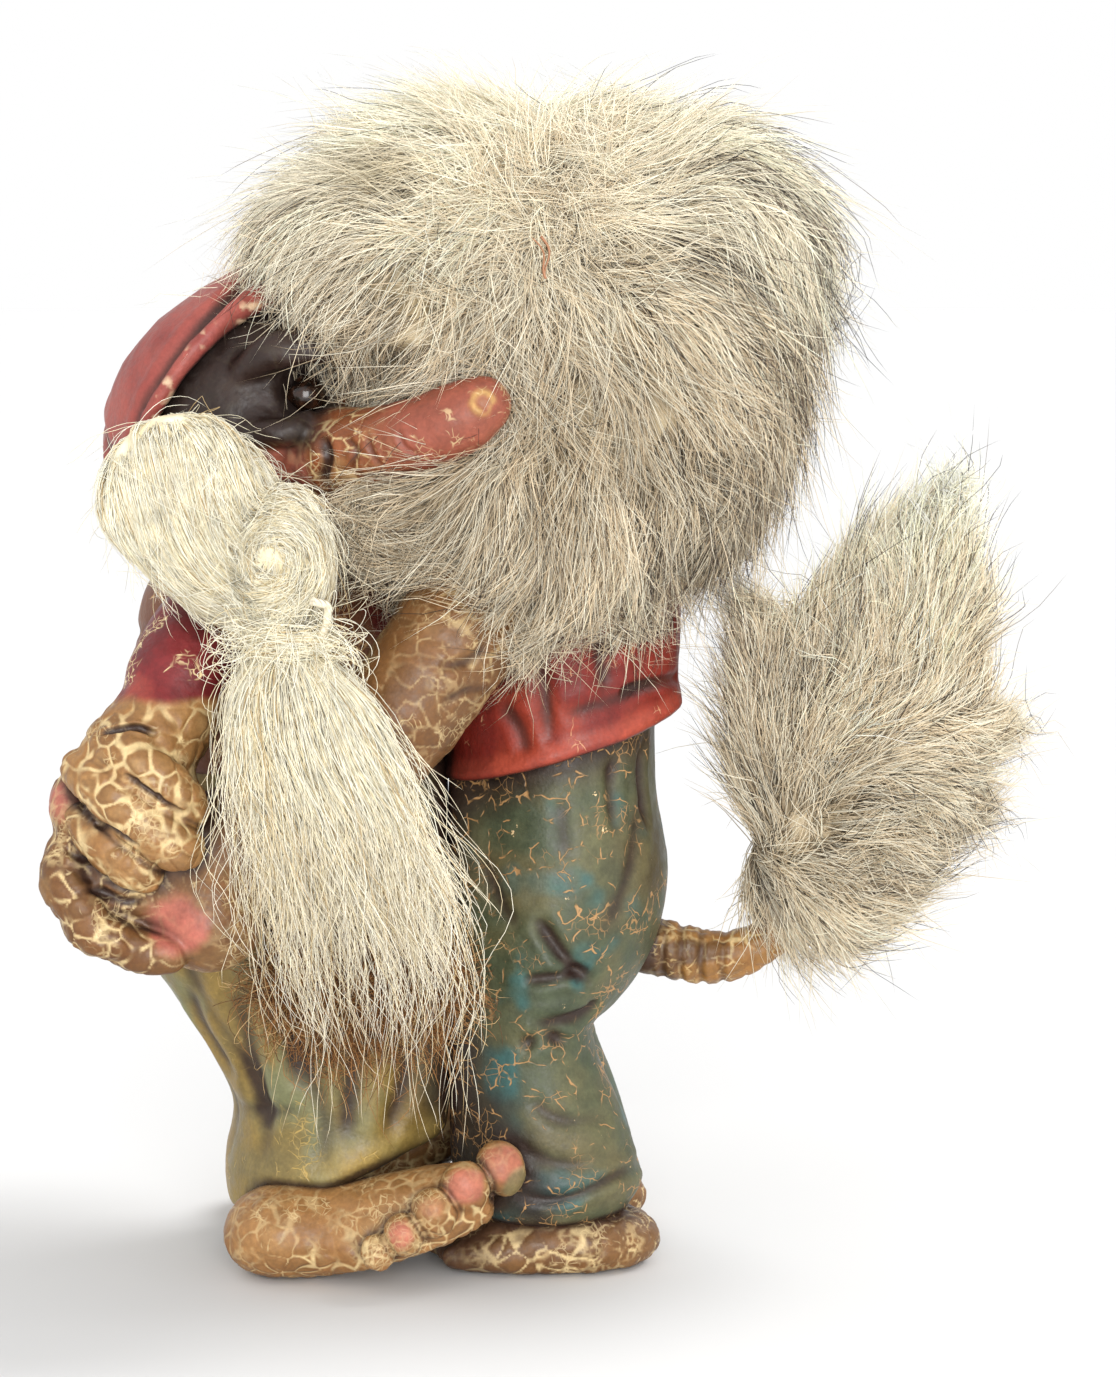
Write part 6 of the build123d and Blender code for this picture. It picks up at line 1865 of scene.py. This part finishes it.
def loops(tag, centre, count, near):
    """Loose hairs that loop out round the tie."""
    n, rings = int(count * FEWER), 14
    P = np.empty((n, rings + 1, 3), F)
    a = rng.uniform(-math.pi, math.pi, n)
    start = np.column_stack([centre[0] + 6.5 * np.cos(a), centre[1] + near * 6.5 * np.abs(np.sin(a)), rng.normal(131, 2.5, n)])
    out_ = unit(np.column_stack([np.cos(a) + 0.3 * rng.normal(size=n), near * (0.25 + 0.4 * rng.random(n)), rng.normal(-0.15, 0.55, n)]))
    far_, turn = rng.uniform(3, 11, n), rng.uniform(0.7, 1.4, n)
    across = unit(np.cross(out_, np.array((0, 1.0, 0)) + 0.2 * rng.normal(size=(n, 3))))
    wide = rng.uniform(1.5, 6.5, n) * rng.choice((-1, 1), n)
    fall = rng.uniform(0, 12, n)
    for s in range(rings + 1):
        k = s / rings
        P[:, s] = start + out_ * (far_ * np.sin(math.pi * k * turn * 0.8))[:, None] + across * (wide * (1 - np.cos(math.pi * 1.3 * k * turn)) * 0.6)[:, None] - np.array((0, 0, 1.0)) * (fall * k ** 1.6)[:, None]
    strand_mesh(f"{tag}_tie_loops", P, np.tile(np.linspace(0.085, 0.05, rings), (n, 1)).astype(F), cream_colours(P, rings, 0.0), "figure", M_CREAM)


wound("near_plait", NEAR_TIE, 420)
wound("far_plait", FAR_TIE, 260)
loops("near_plait", NEAR_TIE, 240, -1)
loops("far_plait", FAR_TIE, 120, 1)
log("plaits")

# -- brown underwool, a frizz of short curls
wool_mass = egg((-27.0, -28.5, 61.0), (25.0, 9.5, 16.0))
wool_core = cut(wool_mass, (0, -27.6, 0), (0, 1, 0), 2.0)
_, wp, wn, wq = sculpt("near_plait_underwool_core", lambda p: wool_core(p) + 2.5, (-54, -44, 42), (0, -22, 80), 1.0, 1,
                       undercoat(srgb(92, 62, 38), srgb(142, 100, 58), deep=0.7, seed=970), ["near_plait_underwool"], M_WOOL)
wr, wnn = pick(wp, wn, wq, int(2600 * FEWER), where=lambda p: (p[:, 1] < -28.2).astype(float))
n = len(wr)
rings = 8
P = np.empty((n, rings + 1, 3), F)
ax1, ax2 = unit(rng.normal(size=(n, 3))), unit(rng.normal(size=(n, 3)))
rad, turns, ph = rng.uniform(0.8, 3.4, n), rng.uniform(3, 8, n), rng.random(n) * 6.28
drift = wnn * rng.uniform(0.5, 5.0, n)[:, None] + rng.normal(size=(n, 3)) * 3.0 + np.array((0.6, -0.4, -1.6))
drift[:, 2] -= 9.0 * (rng.random(n) < 0.3) * rng.random(n)
for s in range(rings + 1):
    k = s / rings
    P[:, s] = wr + drift * k + (ax1 * (np.sin(ph + turns * k) - np.sin(ph))[:, None] + ax2 * (np.cos(ph + turns * k) - np.cos(ph))[:, None]) * rad[:, None]
P[:, :, 1] = np.minimum(P[:, :, 1], -25.5)
base = np.where((rng.random(n) < 0.6)[:, None], srgb(158, 110, 62), np.where((rng.random(n) < 0.6)[:, None], srgb(96, 64, 40), srgb(206, 172, 120)))
strand_mesh("near_plait_underwool_frizz", P, np.tile(np.linspace(0.10, 0.05, rings), (n, 1)).astype(F), np.repeat(base[:, None], rings + 1, 1).astype(F), "figure", M_WOOL)
log(f"wool; {TRIANGLES} triangles of hair")


# ---- eyes: glossy dark beads -----------------------------------------------------------------------

m_eye, nt, bsdf = nodes_for("eye_glass")
raw, _ = coords(nt)
nz = node(nt, "TexNoise", {"Vector": raw, "Scale": 1 / 0.0012, "Detail": 2.0})
nt.links.new(ramp(nt, nz.outputs["Fac"], (0.35, tuple(srgb(14, 9, 7))), (0.7, tuple(srgb(52, 30, 18)))), bsdf.inputs["Base Color"])
bsdf.inputs["Roughness"].default_value = 0.16
bsdf.inputs["Coat Weight"].default_value = 0.1
for n_ in ("tailed_troll_eyes", "scarf_troll_eyes"):
    o = frame["nodes"][n_]
    o.data.materials.clear()
    o.data.materials.append(m_eye)

def plain_material(name, a, b, rough, size, metal=0.0, bump=0.3, wave=0.0):
    m, nt, bsdf = nodes_for(name)
    raw, vec = coords(nt)
    nz = node(nt, "TexNoise", {"Vector": vec, "Scale": 1 / size, "Detail": 4.0, "Roughness": 0.6})
    nt.links.new(ramp(nt, nz.outputs["Fac"], (0.3, tuple(srgb(*a))), (0.7, tuple(srgb(*b)))), bsdf.inputs["Base Color"])
    nt.links.new(band(nt, nz.outputs["Fac"], 0.3, 0.7, rough - 0.08, rough + 0.08), bsdf.inputs["Roughness"])
    bsdf.inputs["Metallic"].default_value = metal
    hgt = nz.outputs["Fac"]
    if wave:
        wv = node(nt, "TexWave", {"Vector": raw, "Scale": wave, "Distortion": 1.5}, wave_type="BANDS", bands_direction="DIAGONAL")
        hgt = wv.outputs["Fac"]
    b_ = node(nt, "Bump", {"Height": hgt, "Strength": bump, "Distance": 0.0003})
    nt.links.new(b_.outputs[0], bsdf.inputs["Normal"])
    return m


for n_, m_ in (("tailed_troll_hair_hide", plain_material("hide_leather", (182, 150, 112), (222, 196, 158), 0.75, 0.0022)),
               ("tail_wire", plain_material("iron_wire_drawn", (92, 90, 88), (132, 130, 126), 0.38, 0.0015, metal=1.0, bump=0.15)),
               ("near_plait_tie", plain_material("cotton_string_twisted", (216, 204, 176), (244, 236, 216), 0.85, 0.0010, wave=420.0, bump=0.8)),
               ("far_plait_tie", None)):
    m_ = m_ or bpy.data.materials["cotton_string_twisted"]
    o = frame["nodes"].get(n_)
    if o is not None:
        o.data.materials.clear()
        o.data.materials.append(m_)

# ---- camera, floor, light ---------------------------------------------------------------------------

scene = bpy.context.scene
cam_data = bpy.data.cameras.new("camera")
cam_data.lens = 36.0 * DIST / (1377 / 5.0)
cam_data.sensor_width = 36.0
cam = bpy.data.objects.new("camera", cam_data)
scene.collection.objects.link(cam)
cam.location = Vector((EYE + SHIFT) * 0.001)
cam.rotation_mode = "QUATERNION"
cam.rotation_quaternion = Vector(FW).to_track_quat("-Z", "Y")
cam_data.clip_start, cam_data.clip_end = 0.01, 20
scene.camera = cam

mesh = bpy.data.meshes.new("floor")
rings, seg = [0.0, 0.25, 0.6, 1.2, 2.5, 6.0], 48
vs = [(0, 0, 0)] + [(r * math.cos(2 * math.pi * i / seg), r * math.sin(2 * math.pi * i / seg), 0) for r in rings[1:] for i in range(seg)]
fs = [(0, 1 + i, 1 + (i + 1) % seg) for i in range(seg)]
for k in range(len(rings) - 2):
    fs += [(1 + k * seg + i, 1 + (k + 1) * seg + i, 1 + (k + 1) * seg + (i + 1) % seg, 1 + k * seg + (i + 1) % seg) for i in range(seg)]
mesh.from_pydata(vs, [], fs)
floor = bpy.data.objects.new("floor", mesh)
scene.collection.objects.link(floor)
m_floor, nt, bsdf = nodes_for("floor_paper")
bsdf.inputs["Base Color"].default_value = (0.68, 0.68, 0.68, 1)
bsdf.inputs["Roughness"].default_value = 0.9
bsdf.inputs["Specular IOR Level"].default_value = 0.1
mesh.materials.append(m_floor)

w = bpy.data.worlds.new("studio")
w.use_nodes = True
w.node_tree.nodes["Background"].inputs[0].default_value = (1, 1, 1, 1)
w.node_tree.nodes["Background"].inputs[1].default_value = 1.0
scene.world = w
scene.view_settings.view_transform = "Standard"


def area(name, loc, target, size, power):
    d = bpy.data.lights.new(name, "AREA")
    d.shape, d.size, d.energy = "SQUARE", size, power
    o = bpy.data.objects.new(name, d)
    scene.collection.objects.link(o)
    o.location = loc
    o.rotation_mode = "QUATERNION"
    o.rotation_quaternion = (Vector(target) - Vector(loc)).to_track_quat("-Z", "Y")


sun_data = bpy.data.lights.new("sun", "SUN")
sun_data.energy, sun_data.angle = 1.95, math.radians(27)
sun = bpy.data.objects.new("sun", sun_data)
scene.collection.objects.link(sun)
sun.rotation_mode = "QUATERNION"
sun.rotation_quaternion = Vector((-0.62, -0.30, -0.80)).to_track_quat("-Z", "Y")
area("front", (0.10, -1.25, 0.36), (0, 0, 0.12), 0.7, 12.5)

# ---- end -------------------------------------------------------------------------------------------

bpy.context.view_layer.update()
log("scene ready")
